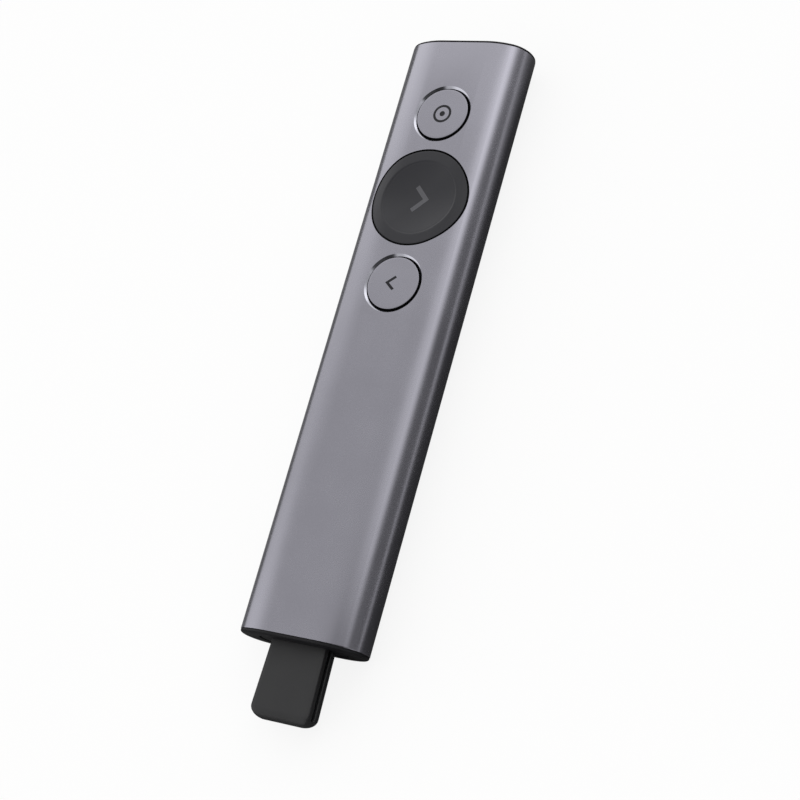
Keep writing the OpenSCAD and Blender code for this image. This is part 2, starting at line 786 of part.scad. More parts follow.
// A strap folded into a loop, with its root moulded into the receiver's housing
module receiver_pull_tab() color(soft_black) placed() intersection() {
    root_y = receiver_rear_y + root_l;
    fold_y = tab_end_y + tab_t / 2;
    // The loop, seen from the side
    along_x(-tab_w / 2, tab_w / 2) difference() {
        union() {
            translate([fold_y, 0]) circle(tab_t / 2);
            translate([fold_y, -tab_t / 2]) square([root_y - fold_y, tab_t]);
        }
        translate([fold_y, 0]) circle(tab_gap / 2);
        translate([fold_y, -tab_gap / 2]) square([receiver_rear_y - fold_y, tab_gap]);
    }
    // Its round corners, seen from above
    translate([0, 0, -tab_t]) linear_extrude(2 * tab_t) {
        translate([0, (root_y + tab_end_y) / 2]) rounded(tab_w, root_y - tab_end_y, tab_corner_r);
        translate([-tab_w / 2, fold_y + tab_corner_r])
            square([tab_w, root_y - fold_y - tab_corner_r]);
    }
}

housing_tube();
front_cap();
rear_cap();
front_gasket();
rear_gasket();
chassis();
button_frame();
frame_screws();
board_screws();
pointer_button();
next_button();
back_button();
pointer_switch();
next_switch();
back_switch();
pointer_plunger();
next_plunger();
back_plunger();
main_board();
radio_shield();
radio_chip();
crystal();
motion_sensor();
charger_chip();
board_passives();
antenna();
status_led();
light_pipe();
battery_cell();
battery_tape();
battery_foam();
battery_connector();
battery_leads();
motor_can();
motor_shaft();
motor_rotor();
motor_pad();
charge_port_shell();
charge_port_tongue();
receiver_dock();
dock_spring();
receiver_plug();
receiver_tongue();
receiver_contacts();
receiver_board();
receiver_chip();
receiver_housing();
receiver_pull_tab();
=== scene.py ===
"""Wireless presentation clicker with a docked receiver: looks, stage and camera."""

import math

import bmesh
import bpy
from bpy.props import FloatProperty, FloatVectorProperty, IntProperty, PointerProperty
from mathutils import Matrix, Vector


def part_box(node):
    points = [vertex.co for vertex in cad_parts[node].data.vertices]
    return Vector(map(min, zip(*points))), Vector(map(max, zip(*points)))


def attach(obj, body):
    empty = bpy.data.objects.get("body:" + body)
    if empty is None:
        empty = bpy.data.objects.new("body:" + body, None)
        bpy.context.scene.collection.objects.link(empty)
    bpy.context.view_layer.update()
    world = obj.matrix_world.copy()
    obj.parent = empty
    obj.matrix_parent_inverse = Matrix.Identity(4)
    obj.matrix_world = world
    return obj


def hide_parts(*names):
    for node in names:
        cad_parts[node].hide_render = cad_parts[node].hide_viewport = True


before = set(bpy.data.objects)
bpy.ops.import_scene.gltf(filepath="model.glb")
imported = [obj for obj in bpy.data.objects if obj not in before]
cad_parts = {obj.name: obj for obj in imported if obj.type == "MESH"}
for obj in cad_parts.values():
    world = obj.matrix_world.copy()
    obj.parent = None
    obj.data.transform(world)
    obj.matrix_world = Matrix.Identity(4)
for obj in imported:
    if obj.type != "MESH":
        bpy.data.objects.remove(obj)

bl_info = {
    "name": "Presentation Clicker",
    "version": (1, 0, 0),
    "blender": (4, 5, 0),
    "location": "3D View > Sidebar > Clicker",
    "description": "Dresses a wireless presentation clicker and its docked receiver",
    "category": "Object",
}

MM = 0.001
X, Y = 0, 1

# Where the CAD puts things, in metres: each box is its lowest and its highest corner
TUBE_LO, TUBE_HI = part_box("housing_tube")
MID_Z = (TUBE_LO.z + TUBE_HI.z) / 2
FRONT_CAP, REAR_CAP, LIGHT, CASE, PLUG, TAB = (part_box(node) for node in (
    "front_cap", "rear_cap", "light_pipe", "receiver_housing", "receiver_plug",
    "receiver_pull_tab"))
KEYS = {node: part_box(node) for node in ("pointer_button", "back_button", "next_button")}
KEY_Y = {node: (lo.y + hi.y) / 2 for node, (lo, hi) in KEYS.items()}

# Corners nearer to each other than this are one corner
TOUCH = 2e-7
# Rows of faces over a cap's rounded edge, over a button's, and down the dish's shoulder
CAP_ROWS, KEY_ROWS, SHOULDER_ROWS = 8, 4, 8
# Rings down the dish, and the share of its radius that the last one leaves in the middle
DISH_RINGS, DISH_EYE = 26, 0.03
# Width of the rings on a button's crown, and radius of the face that they leave in the middle
CROWN_RING, CROWN_EYE = 0.35 * MM, 0.3 * MM
# Steps along each layer of the pull tab's strap and across it
STRAP_RUNS, STRAP_COLUMNS = 24, 12


# ---- Settings ----

def linear(code):
    """Turns an sRGB hex colour into linear red, green and blue."""
    parts = [int(code[i:i + 2], 16) / 255 for i in (1, 3, 5)]
    return [p / 12.92 if p <= 0.04045 else ((p + 0.055) / 1.055) ** 2.4 for p in parts]


def length(name, description, millimetres):
    """A length that the panel shows in the scene's units."""
    return FloatProperty(name=name, description=description, default=millimetres * MM,
                         unit="LENGTH", precision=5)


def facets(name, description, count, least):
    """How finely a curve is drawn."""
    return IntProperty(name=name, description=description, default=count, min=least)


def colour(name, description, code):
    """A colour that the panel shows as a swatch."""
    return FloatVectorProperty(name=name, description=description, default=linear(code),
                               subtype="COLOR", size=3, min=0, max=1)


def number(name, description, value, **kind):
    """A brightness, a share or an angle."""
    return FloatProperty(name=name, description=description, default=value, **kind)


def spot(name, description, place, kind):
    """A place or a direction."""
    return FloatVectorProperty(name=name, description=description, default=place,
                               subtype=kind, size=3)


class ClickerBodySizes(bpy.types.PropertyGroup):
    """The tube and its two end caps"""
    half_width: length("Half width", "Middle to a side's widest point", 14.05)
    side_r: length("Side radius", "Rounding of the tube's sides", 5.3)
    top_flat: length("Top flat", "Flat that the buttons sit in", 10)
    back_flat: length("Back flat", "Flat underneath", 12)
    wall: length("Wall", "Thickness of the tube", 1.2)
    bore_side_r: length("Bore radius", "Rounding of the sides inside", 3.7)
    rim_break: length("Rim break", "Rounding of the sawn ends", 0.12)
    cut_w: length("Cut width", "Bright cut round a small hole", 0.5)
    cut_depth: length("Cut depth", "Depth of the bright cut", 0.39)
    front_edge: length("Front edge", "How far the front cap is rounded in", 2.2)
    rear_edge: length("Rear edge", "How far the rear cap is rounded in", 0.95)
    cap_inset: length("Cap inset", "From the tube's outline in to a cap's", 0.05)
    cap_slip: length("Cap slip", "Gap between a spigot and the bore", 0.1)
    cap_step: length("Cap step", "Straight part of a cap's edge", 0.04)
    face_t: length("Face", "Thickness of the front cap's face", 0.95)
    spigot_t: length("Spigot", "Wall of the front cap's spigot", 1)
    slot_w: length("Slot width", "Slot for the receiver", 19.1)
    slot_t: length("Slot height", "Slot for the receiver", 6.4)
    slot_r: length("Slot radius", "Corners of the slot", 2.6)
    slot_break: length("Slot break", "Rounding of the slot's mouth", 0.15)
    shoulder_steps: facets("Shoulder steps", "Facets on each shoulder", 44, 8)
    side_steps: facets("Side steps", "Facets round each side", 160, 24)


class ClickerKeySizes(bpy.types.PropertyGroup):
    """The three buttons and their icons"""
    small_r: length("Small radius", "The pointer and back buttons", 5.72)
    big_r: length("Big radius", "The next button", 10.6)
    gap: length("Gap", "Gap round a small button", 0.28)
    big_gap: length("Big gap", "Gap round the next button", 0.38)
    recess: length("Recess", "From the tube's top down to a small button's", 0.08)
    edge_r: length("Edge", "Rounding of each button's edge", 0.08)
    dish_r: length("Dish radius", "The next button's thumb dish", 7.95)
    dish_depth: length("Dish depth", "Depth at the dish's middle", 1.0)
    dish_step: length("Dish step", "Height of the dish's shoulder", 0.12)
    dish_fillet: length("Dish shoulder", "Width of the dish's shoulder", 0.55)
    flange_z: length("Flange place", "Height of a flange's underside", 10.1)
    flange_t: length("Flange", "Thickness of the flange that keeps a button in", 0.6)
    tongue_w: length("Tongue width", "The next button's two tongues", 9)
    tongue_show: length("Tongue step", "The next button ends above its tongues", 0.05)
    stem_r: length("Stem radius", "The stem under a button", 2)
    pin_r: length("Pin radius", "The two guide pins", 0.6)
    pin_x: length("Pin place", "From the middle to a guide pin", 4)
    pin_short: length("Pin end", "The pins end higher than the stem", 0.13)
    ring_r: length("Ring radius", "The pointer icon's ring, outside", 2.05)
    ring_w: length("Ring stroke", "The pointer icon's ring", 0.52)
    dot_r: length("Dot radius", "The pointer icon's dot", 0.6)
    next_stroke: length("Next stroke", "Stroke of the big arrow", 1.0)
    next_rise: length("Next rise", "Half the big arrow's height", 2.7)
    next_reach: length("Next reach", "Corner to ends, along X", 2.65)
    next_tip: length("Next tip", "Middle to corner, along X", 1.45)
    back_stroke: length("Back stroke", "Stroke of the small arrow", 0.52)
    back_rise: length("Back rise", "Half the small arrow's height", 1.42)
    back_reach: length("Back reach", "Corner to ends, along X", 1.71)
    back_tip: length("Back tip", "Middle to corner, along X", -1.36)
    print_t: length("Print", "How far an icon stands proud", 0.01)
    print_sink: length("Print depth", "How far an icon goes in", 0.05)
    round_steps: facets("Round steps", "Facets round a button", 192, 32)


class ClickerReceiverSizes(bpy.types.PropertyGroup):
    """The receiver and its pull tab"""
    case_r: length("Case radius", "Corners of the receiver's case", 2.4)
    case_edge: length("Case edge", "Rounding of the case's ends", 0.3)
    case_show: length("Case end", "From the rear cap's face in to the case", 0.1)
    board_gap: length("Board gap", "Gap beside the board", 0.4)
    pocket_wall: length("Pocket wall", "Wall between the tab and the board", 1.1)
    plug_r: length("Plug radius", "Corners of the plug's shell", 0.45)
    sheet_t: length("Sheet", "Thickness of the plug's shell", 0.3)
    mouth_r: length("Plug mouth", "Rounding of the plug's mouth", 0.08)
    window_w: length("Window width", "Each window in the plug", 2.2)
    window_y: length("Window place", "From the case to the windows", 4.2)
    window_l: length("Window length", "Each window in the plug", 2.4)
    layer_t: length("Strap", "Thickness of the pull tab's strap", 1.5)
    tab_w: length("Tab width", "The pull tab at its fold", 13.2)
    root_w: length("Root width", "The pull tab at the case", 12.4)
    tab_slack: length("Tab slack", "The fold stays short of its full reach", 0.25)
    tab_corner: length("Tab corner", "Corners of the pull tab", 2.3)
    tab_edge: length("Tab edge", "Rounding of the strap's edges", 0.3)
    fold_steps: facets("Fold steps", "Facets round the strap's fold", 28, 8)


class ClickerColours(bpy.types.PropertyGroup):
    """The finishes' colours"""
    slate: colour("Anodised slate", "Blasted and anodised aluminium", "#88878F")
    cut_metal: colour("Cut metal", "Bright cut aluminium round a hole", "#A2A2AA")
    soft_black: colour("Soft black", "Soft-touch coating of the next button", "#0E0E17")
    cap_black: colour("Cap black", "Moulded plastic of the caps and the receiver", "#0A0A0E")
    tab_black: colour("Tab black", "Elastomer of the pull tab", "#0D0D10")
    grey_print: colour("Grey print", "The big arrow", "#525256")
    dark_print: colour("Dark print", "The two small icons", "#0E0D14")


class ClickerStage(bpy.types.PropertyGroup):
    """The floor, the studio light and the camera"""
    floor: colour("Floor", "Pale paper under the clicker", "#F4F4F3")
    floor_glow: number("Floor white", "Share of plain white in the floor", 0.87, min=0, max=1)
    left_card: number("Left card", "Grey of the card at the left", 0.29, min=0, max=1)
    left_far: number("Left card's end", "Its grey further off", 0.22, min=0, max=1)
    right_card: number("Right card", "Grey of the card at the right", 0.12, min=0, max=1)
    right_far: number("Right card's end", "Its grey further off", 0.9, min=0, max=1)
    rear_card: number("Rear card", "Grey of the card behind the tab", 0.18, min=0, max=1)
    sky: number("Studio", "Brightness of the studio overhead", 0.98, min=0)
    sky_left: number("Left", "What the left softbox adds", 0.4)
    sky_strip: number("Strip", "What the strip light overhead adds", 0.65)
    sky_right: number("Right", "What the dark wall at the right adds, below zero", -1.34)
    sky_near: number("Near", "Share of the light on the rear end's side", 1.01, min=0)
    sky_far: number("Far", "Share of the light on the front end's side", 1.47, min=0)
    flag: number("Flag", "Share of the light left behind the dark flag", 0.06, min=0)
    flag_way: spot("Flag's place", "Where the dark flag hangs", (0.25, -0.6, 0.76),
                   "DIRECTION")
    lamp: number("Lamp", "How much brighter the low lamp is", 1.7, min=0)
    lamp_way: spot("Lamp's place", "Where the low lamp stands", (-0.88, -0.32, 0.35),
                   "DIRECTION")
    camera_place: spot("Camera", "Where the camera stands", (0.18208, -0.10527, 0.31024),
                       "TRANSLATION")
    camera_aim: spot("Aim", "The point the camera looks at", (0.0091228, -0.0077121, 0.0121),
                     "TRANSLATION")
    camera_roll: number("Roll", "How far the camera is rolled", math.radians(-48.9497),
                        subtype="ANGLE")
    lens: number("Lens", "Focal length on a 36 mm sensor", 82.41, min=1)


def sizes():
    """The settings of the tube and its caps, of the buttons, and of the receiver."""
    scene = bpy.context.scene
    return scene.clicker_body, scene.clicker_keys, scene.clicker_receiver


# ---- Bench tools: how every piece is started, shaped and finished ----

def object_mode():
    if bpy.context.mode != "OBJECT":
        bpy.ops.object.mode_set(mode="OBJECT")


def only(piece):
    """Makes a piece the one selected and active object."""
    object_mode()
    bpy.ops.object.select_all(action="DESELECT")
    piece.select_set(True)
    bpy.context.view_layer.objects.active = piece


def edit(piece):
    """Opens a piece's mesh with all of it selected."""
    only(piece)
    bpy.ops.object.mode_set(mode="EDIT")
    bpy.ops.mesh.select_mode(type="VERT")
    bpy.ops.mesh.select_all(action="SELECT")


def start(add, name, **placed):
    """Adds a primitive at its size and place, with the place moved into its mesh."""
    object_mode()
    bpy.ops.object.select_all(action="DESELECT")
    add(**placed)
    bpy.ops.object.transform_apply(location=True, rotation=True, scale=True)
    piece = bpy.context.active_object
    piece.name = piece.data.name = name
    return piece


def disc(name, radius, place, steps):
    """A flat, round face."""
    return start(bpy.ops.mesh.primitive_circle_add, name, vertices=steps, radius=radius,
                 fill_type="NGON", location=place)


def point(name, place):
    """An open mesh with one corner, from which a wire is drawn."""
    wire = start(bpy.ops.mesh.primitive_plane_add, name, size=MM, location=place)
    edit(wire)
    bpy.ops.mesh.merge(type="CENTER")
    return wire


def pick(kind, test):
    """Selects the VERTs, EDGEs or FACEs of the open mesh that pass a test."""
    bpy.ops.mesh.select_mode(type=kind)
    bpy.ops.mesh.select_all(action="DESELECT")
    open_mesh = bpy.context.edit_object.data
    shape = bmesh.from_edit_mesh(open_mesh)
    for part in {"VERT": shape.verts, "EDGE": shape.edges, "FACE": shape.faces}[kind]:
        if test(part):
            part.select_set(True)
    shape.select_flush_mode()
    bmesh.update_edit_mesh(open_mesh)


def all_at(axis, place, near=1e-6):
    """A test for parts whose every corner lies at one place along an axis."""
    def test(part):
        corners = [part] if isinstance(part, bmesh.types.BMVert) else part.verts
        return all(abs(v.co[axis] - place) < near for v in corners)
    return test


def move(x=0.0, y=0.0, z=0.0):
    bpy.ops.transform.translate(value=(x, y, z), orient_type="GLOBAL")


def scale(x, y, z, about):
    bpy.ops.transform.resize(value=(x, y, z), orient_type="GLOBAL", center_override=about)


def extrude(x=0.0, y=0.0, z=0.0):
    bpy.ops.mesh.extrude_region_move(TRANSFORM_OT_translate={"value": (x, y, z)})


def extrude_points(x=0.0, y=0.0, z=0.0):
    bpy.ops.mesh.extrude_vertices_move(TRANSFORM_OT_translate={"value": (x, y, z)})


def extrude_ring(r, next_r, rise, middle, squash=1):
    """Extrudes a round selection upwards and takes it from one radius to the next."""
    extrude(z=rise)
    if abs(next_r - r) > 1e-9:
        scale(next_r / r, next_r / r, squash, middle)
    return next_r


def use_modifier(piece, kind, **settings):
    """Adds a modifier, sets it and applies it."""
    only(piece)
    modifier = piece.modifiers.new(kind.title(), kind)
    for key, value in settings.items():
        setattr(modifier, key, value)
    bpy.ops.object.modifier_apply(modifier=modifier.name)


def lay_on(piece, target, **settings):
    """Drops a flat piece straight down on a target."""
    use_modifier(piece, "SHRINKWRAP", wrap_method="PROJECT", use_project_z=True,
                 use_negative_direction=True, use_positive_direction=False, target=target,
                 **settings)


def face_out(piece):
    """Merges doubled corners, then turns every face outwards."""
    edit(piece)
    bpy.ops.mesh.remove_doubles(threshold=TOUCH)
    bpy.ops.mesh.normals_make_consistent(inside=False)
    object_mode()


def carve(piece, *tools, how="DIFFERENCE"):
    """Cuts tools away from a piece, or melts them into it, and removes them."""
    for tool in tools:
        face_out(tool)
        use_modifier(piece, "BOOLEAN", operation=how, solver="EXACT", object=tool)
        bpy.data.objects.remove(tool, do_unlink=True)
    edit(piece)
    bpy.ops.mesh.remove_doubles(threshold=TOUCH)
    object_mode()


def bevel(piece, radius, steps, test):
    """Rounds the edges that pass a test."""
    edit(piece)
    pick("EDGE", test)
    bpy.ops.mesh.bevel(offset=radius, segments=steps, affect="EDGES")
    object_mode()


def join(*pieces):
    """Puts all pieces' meshes into the first one."""
    only(pieces[0])
    for piece in pieces[1:]:
        piece.select_set(True)
    bpy.ops.object.join()


def finish(piece, look, body, replaces=None, smooth=30, parts=None):
    """Smooths a piece, gives it its finish and tells the frame what it is.

    parts names further finishes, each with a test for the faces that it goes on."""
    parts = parts or {}
    for name in (look, *parts):
        piece.data.materials.append(finish_named(name))
    for index, test in enumerate(parts.values(), 1):
        edit(piece)
        pick("FACE", test)
        piece.active_material_index = index
        bpy.ops.object.material_slot_assign()
    only(piece)
    bpy.ops.object.shade_smooth_by_angle(angle=math.radians(smooth))
    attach(piece, body)
    if replaces:
        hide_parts(replaces)


# ---- Shared shapes ----

def section(wall=0.0):
    """Half width, half height and side radius of the tube's outside, or of its bore."""
    body, _, _ = sizes()
    side_r = body.bore_side_r if wall else body.side_r
    return body.half_width - wall, (TUBE_HI.z - TUBE_LO.z) / 2 - wall, side_r


def shoulder(half_w, half_t, side_r, flat):
    """Radius and turn of the arc that touches both a flat and a rounded side."""
    run = half_w - side_r - flat / 2
    arc_r = (run * run + half_t * half_t - side_r * side_r) / (2 * (half_t - side_r))
    return arc_r, math.asin(run / (arc_r - side_r))


def outline(name, y, cut, inset=0.0):
    """Draws the body's cross-section at y as one closed wire, moved in by inset."""
    body, _, _ = sizes()
    half_w, half_t, side_r = cut
    top_r, top_turn = shoulder(half_w, half_t, side_r, body.top_flat)
    back_r, back_turn = shoulder(half_w, half_t, side_r, body.back_flat)
    wire = point(name, (0, y, MID_Z + half_t - inset))
    extrude_points(x=body.top_flat / 2)
    for centre, angle, steps in (
        ((body.top_flat / 2, y, MID_Z + half_t - top_r), top_turn, body.shoulder_steps),
        ((half_w - side_r, y, MID_Z), math.pi - top_turn - back_turn, body.side_steps),
        ((body.back_flat / 2, y, MID_Z - half_t + back_r), back_turn, body.shoulder_steps),
    ):
        # With no window, spin turns the other way round its axis
        bpy.ops.mesh.spin(steps=steps, angle=-angle, center=centre, axis=(0, 1, 0))
    extrude_points(x=-body.back_flat / 2)
    use_modifier(wire, "MIRROR", merge_threshold=1e-6)
    return wire


def sheet(name, cut, y_from, y_to, inset=0.0):
    """The cross-section pulled along the body as an open sleeve."""
    sleeve = outline(name, y_from, cut, inset)
    edit(sleeve)
    extrude(y=y_to - y_from)
    object_mode()
    return sleeve


def prism(name, cut, y_from, y_to, inset=0.0):
    """The cross-section pulled along the body as a closed block."""
    piece = sheet(name, cut, y_from, y_to, inset)
    edit(piece)
    for y in (y_from, y_to):
        pick("EDGE", all_at(Y, y))
        bpy.ops.mesh.edge_face_add()
    face_out(piece)
    return piece


def block(name, lo, hi):
    """A box between two corners."""
    lo, hi = Vector(lo), Vector(hi)
    return start(bpy.ops.mesh.primitive_cube_add, name, size=1, scale=hi - lo,
                 location=(lo + hi) / 2)


def rounded_block(name, lo, hi, radius, steps):
    """A box whose four edges along the body are rounded."""
    piece = block(name, lo, hi)
    bevel(piece, radius, steps,
          lambda edge: abs(edge.verts[0].co.y - edge.verts[1].co.y) > 1e-6)
    return piece


def turned(name, profile, x=0.0, y=0.0, steps=64):
    """A solid of revolution about an upright axis, from (radius, height) steps."""
    first_r, first_z = profile[0]
    piece = disc(name, first_r, (x, y, first_z), steps)
    edit(piece)
    for (r, z), (next_r, next_z) in zip(profile, profile[1:]):
        extrude_ring(r, next_r, next_z - z, (x, y, next_z))
    face_out(piece)
    return piece


class Step:
    """What all of the operators share"""
    bl_options = {"REGISTER", "UNDO"}


# ---- The tube ----

class CLICKER_OT_tube(Step, bpy.types.Operator):
    """Extrudes the aluminium tube, drills its three holes and cuts their bright chamfers"""
    bl_idname = "clicker.tube"
    bl_label = "Tube"

    def execute(self, context):
        body, keys, _ = sizes()
        rear, front, top = TUBE_LO.y, TUBE_HI.y, TUBE_HI.z
        shell = sheet("tube_shell", section(), rear, front)
        join(shell, sheet("bore", section(body.wall), rear, front))
        edit(shell)
        for end in (rear, front):
            pick("EDGE", all_at(Y, end))
            bpy.ops.mesh.bridge_edge_loops()
        face_out(shell)

        def outer_rim(edge):
            middle = (edge.verts[0].co + edge.verts[1].co) / 2
            at_end = all_at(Y, rear)(edge) or all_at(Y, front)(edge)
            along_rim = all(len(f.verts) == 4 for f in edge.link_faces)
            normals = [f.normal for f in edge.link_faces]
            outwards = any(n.y ** 2 < 0.01 and n.dot(Vector((middle.x, 0, middle.z - MID_Z))) > 0
                           for n in normals)
            return at_end and along_rim and outwards and any(abs(n.y) > 0.9 for n in normals)

        bevel(shell, body.rim_break, 3, outer_rim)
        cut_w, cut_depth = body.cut_w, body.cut_depth
        holes = []
        for node, y in KEY_Y.items():
            if node == "next_button":
                r = keys.big_r + keys.big_gap
                mouth = [(r, top + cut_w)]
            else:
                r = keys.small_r + keys.gap
                mouth = [(r, top - cut_depth), (r + 2 * cut_w, top + cut_depth)]
            carve(shell, turned("drill", [(r, MID_Z), *mouth], y=y, steps=keys.round_steps))
            holes.append((y, r))

        def in_hole(face):
            place = face.calc_center_median()
            near = 1.2 * cut_w
            return place.z > MID_Z and any(
                abs(math.hypot(place.x, place.y - y) - r) < near for y, r in holes)

        # The bright cut goes on the chamfers. The holes' upright walls get painted shade, near
        # black, for the shadow in the gaps.
        finish(shell, "anodised_aluminium", "handset", "housing_tube", parts={
            "cut_aluminium": lambda face: 0.6 < face.normal.z < 0.9 and in_hole(face),
            "gap_black": lambda face: abs(face.normal.z) < 0.1 and in_hole(face)})
        return {"FINISHED"}


# ---- End caps ----

def cap_cover(name, joint_y, face_y, edge_r):
    """A cap's cover, closed, rounded over from its joint to its face."""
    body, _, _ = sizes()
    way = 1 if face_y > joint_y else -1
    cover = outline(name, joint_y, section(), body.cap_inset)
    edit(cover)
    bpy.ops.mesh.edge_face_add()
    pick("FACE", lambda face: True)
    shape = bmesh.from_edit_mesh(cover.data)
    shape.faces.ensure_lookup_table()
    if shape.faces[0].normal.y * way < 0:
        bpy.ops.mesh.flip_normals()
    extrude(y=way * body.cap_step)
    depth = abs(face_y - joint_y) - body.cap_step
    for row in range(CAP_ROWS):
        a, b = (math.pi / 2 * step / CAP_ROWS for step in (row, row + 1))
        bpy.ops.mesh.inset(thickness=edge_r * (math.cos(a) - math.cos(b)),
                           depth=depth * (math.sin(b) - math.sin(a)), use_even_offset=True)
    face_out(cover)
    return cover


class CLICKER_OT_front_cap(Step, bpy.types.Operator):
    """Moulds the front cap: a rounded cover, a hollow spigot and a hole for the light"""
    bl_idname = "clicker.front_cap"
    bl_label = "Front cap"

    def execute(self, context):
        body, _, _ = sizes()
        lo, hi = FRONT_CAP
        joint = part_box("front_gasket")[1].y
        cap = cap_cover("front_cap_shell", joint, hi.y, body.front_edge)
        bore = section(body.wall)
        carve(cap, prism("spigot", bore, lo.y, joint + body.cap_step / 2, body.cap_slip),
              how="UNION")
        carve(cap, prism("hollow", bore, lo.y - MM, joint - body.face_t,
                         body.cap_slip + body.spigot_t))
        # The light pipe's box is as wide as its head. The hole leaves a gap round its pin.
        head_step, slip = 0.4 * MM, 0.05 * MM
        carve(cap, start(bpy.ops.mesh.primitive_cylinder_add, "light_hole", vertices=48,
                         radius=(LIGHT[1].z - LIGHT[0].z) / 2 - head_step + slip,
                         depth=12 * MM, rotation=(math.pi / 2, 0, 0),
                         location=(0, hi.y, (LIGHT[0].z + LIGHT[1].z) / 2)))
        finish(cap, "spark_eroded_abs", "handset", "front_cap")
        return {"FINISHED"}


class CLICKER_OT_rear_cap(Step, bpy.types.Operator):
    """Moulds the rear cap: a rounded cover and a spigot with the receiver's slot through both"""
    bl_idname = "clicker.rear_cap"
    bl_label = "Rear cap"

    def execute(self, context):
        body, _, _ = sizes()
        lo, hi = REAR_CAP
        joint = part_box("rear_gasket")[0].y
        cap = cap_cover("rear_cap_shell", joint, lo.y, body.rear_edge)
        carve(cap, prism("spigot", section(body.wall), joint - body.cap_step / 2, hi.y,
                         body.cap_slip), how="UNION")
        half_w, half_t = body.slot_w / 2, body.slot_t / 2
        carve(cap, rounded_block("slot", (-half_w, lo.y - MM, MID_Z - half_t),
                                 (half_w, hi.y + MM, MID_Z + half_t), body.slot_r, 16))
        near = 0.01 * MM
        bevel(cap, body.slot_break, 3,
              lambda edge: all_at(Y, lo.y)(edge) and len(edge.link_faces) == 2
              and abs(edge.verts[0].co.x) < half_w + near
              and abs(edge.verts[0].co.z - MID_Z) < half_t + near
              and any(abs(f.normal.y) < 0.1 for f in edge.link_faces))
        finish(cap, "spark_eroded_abs", "handset", "rear_cap")
        return {"FINISHED"}


# ---- Buttons ----

def key_cap(name, y, radius, bottom_z, recess=0.0, dish=None):
    """A button's cap: rings laid under the body's outline, a rounded edge and a skirt.

    dish is the radius at which a dish starts, and its rings."""
    _, keys, _ = sizes()
    middle = (0, y, TUBE_HI.z + MM)
    crown_r = radius - keys.edge_r
    inner_r = dish[0] if dish else CROWN_EYE
    cap = disc(name, crown_r, middle, keys.round_steps)
    edit(cap)
    bpy.ops.mesh.select_mode(type="FACE")
    rings = max(6, round((crown_r - inner_r) / CROWN_RING))
    r = crown_r
    for ring in range(1, rings + 1):
        r = extrude_ring(r, crown_r + (inner_r - crown_r) * ring / rings, 0, middle)
    # The extruded n-gon leaves its first face behind underneath
    pick("FACE", lambda face: len(face.verts) > 4 and
         math.hypot(face.verts[0].co.x, face.verts[0].co.y - y) > (crown_r + inner_r) / 2)
    bpy.ops.mesh.delete(type="FACE")
    die = sheet("die", section(), y - 2 * radius, y + 2 * radius, recess)
    lay_on(cap, die)
    bpy.data.objects.remove(die, do_unlink=True)
    edit(cap)
    if dish:
        pick("FACE", lambda face: len(face.verts) > 4)
        r, z, share = inner_r, TUBE_HI.z, 1
        for next_r, next_z, next_share in dish[1]:
            r = extrude_ring(r, next_r, next_z - z, (0, y, next_z), next_share / share)
            z, share = next_z, next_share
    pick("EDGE", lambda edge: len(edge.link_faces) == 1)
    r = crown_r
    for row in range(KEY_ROWS):
        a, b = (math.pi / 2 * step / KEY_ROWS for step in (row, row + 1))
        r = extrude_ring(r, crown_r + keys.edge_r * math.sin(b),
                         -keys.edge_r * (math.cos(a) - math.cos(b)), middle)
    extrude()
    scale(1, 1, 0, (0, y, bottom_z))
    bpy.ops.mesh.edge_face_add()
    face_out(cap)
    return cap


def stem_and_pins(y, stem_z):
    """The stem that presses the switch and the pins that keep the button straight."""
    _, keys, _ = sizes()
    inside = keys.flange_z + keys.flange_t / 4
    pin = [(keys.pin_r, stem_z + keys.pin_short), (keys.pin_r, inside)]
    return [turned("stem", [(keys.stem_r, stem_z), (keys.stem_r, inside)], y=y, steps=48),
            *(turned("pin", pin, x=x, y=y, steps=24) for x in (-keys.pin_x, keys.pin_x))]


class CLICKER_OT_small_buttons(Step, bpy.types.Operator):
    """Makes the pointer button and the back button, which lie just under the tube's top"""
    bl_idname = "clicker.small_buttons"
    bl_label = "Small buttons"

    def execute(self, context):
        _, keys, _ = sizes()
        flange_top = keys.flange_z + keys.flange_t
        # The skirt's sides, and all of it from a little above the flange down, get painted shade,
        # near black, where no light comes
        painted_shade_z = flange_top + 0.4 * MM
        for node, name, body in (("pointer_button", "pointer_cap", "pointer_key"),
                                 ("back_button", "back_cap", "back_key")):
            (lo, hi), y = KEYS[node], KEY_Y[node]
            flange_r = (hi.x - lo.x) / 2
            cap = key_cap(name, y, keys.small_r, keys.flange_z + keys.flange_t / 2, keys.recess)
            flange = turned("flange", [(flange_r, keys.flange_z), (flange_r, flange_top)], y=y,
                            steps=96)
            carve(cap, flange, *stem_and_pins(y, lo.z), how="UNION")
            finish(cap, "metallic_paint", body, node, parts={
                "gap_black": lambda face: face.normal.z < 0.5
                or face.calc_center_median().z < painted_shade_z})
        return {"FINISHED"}


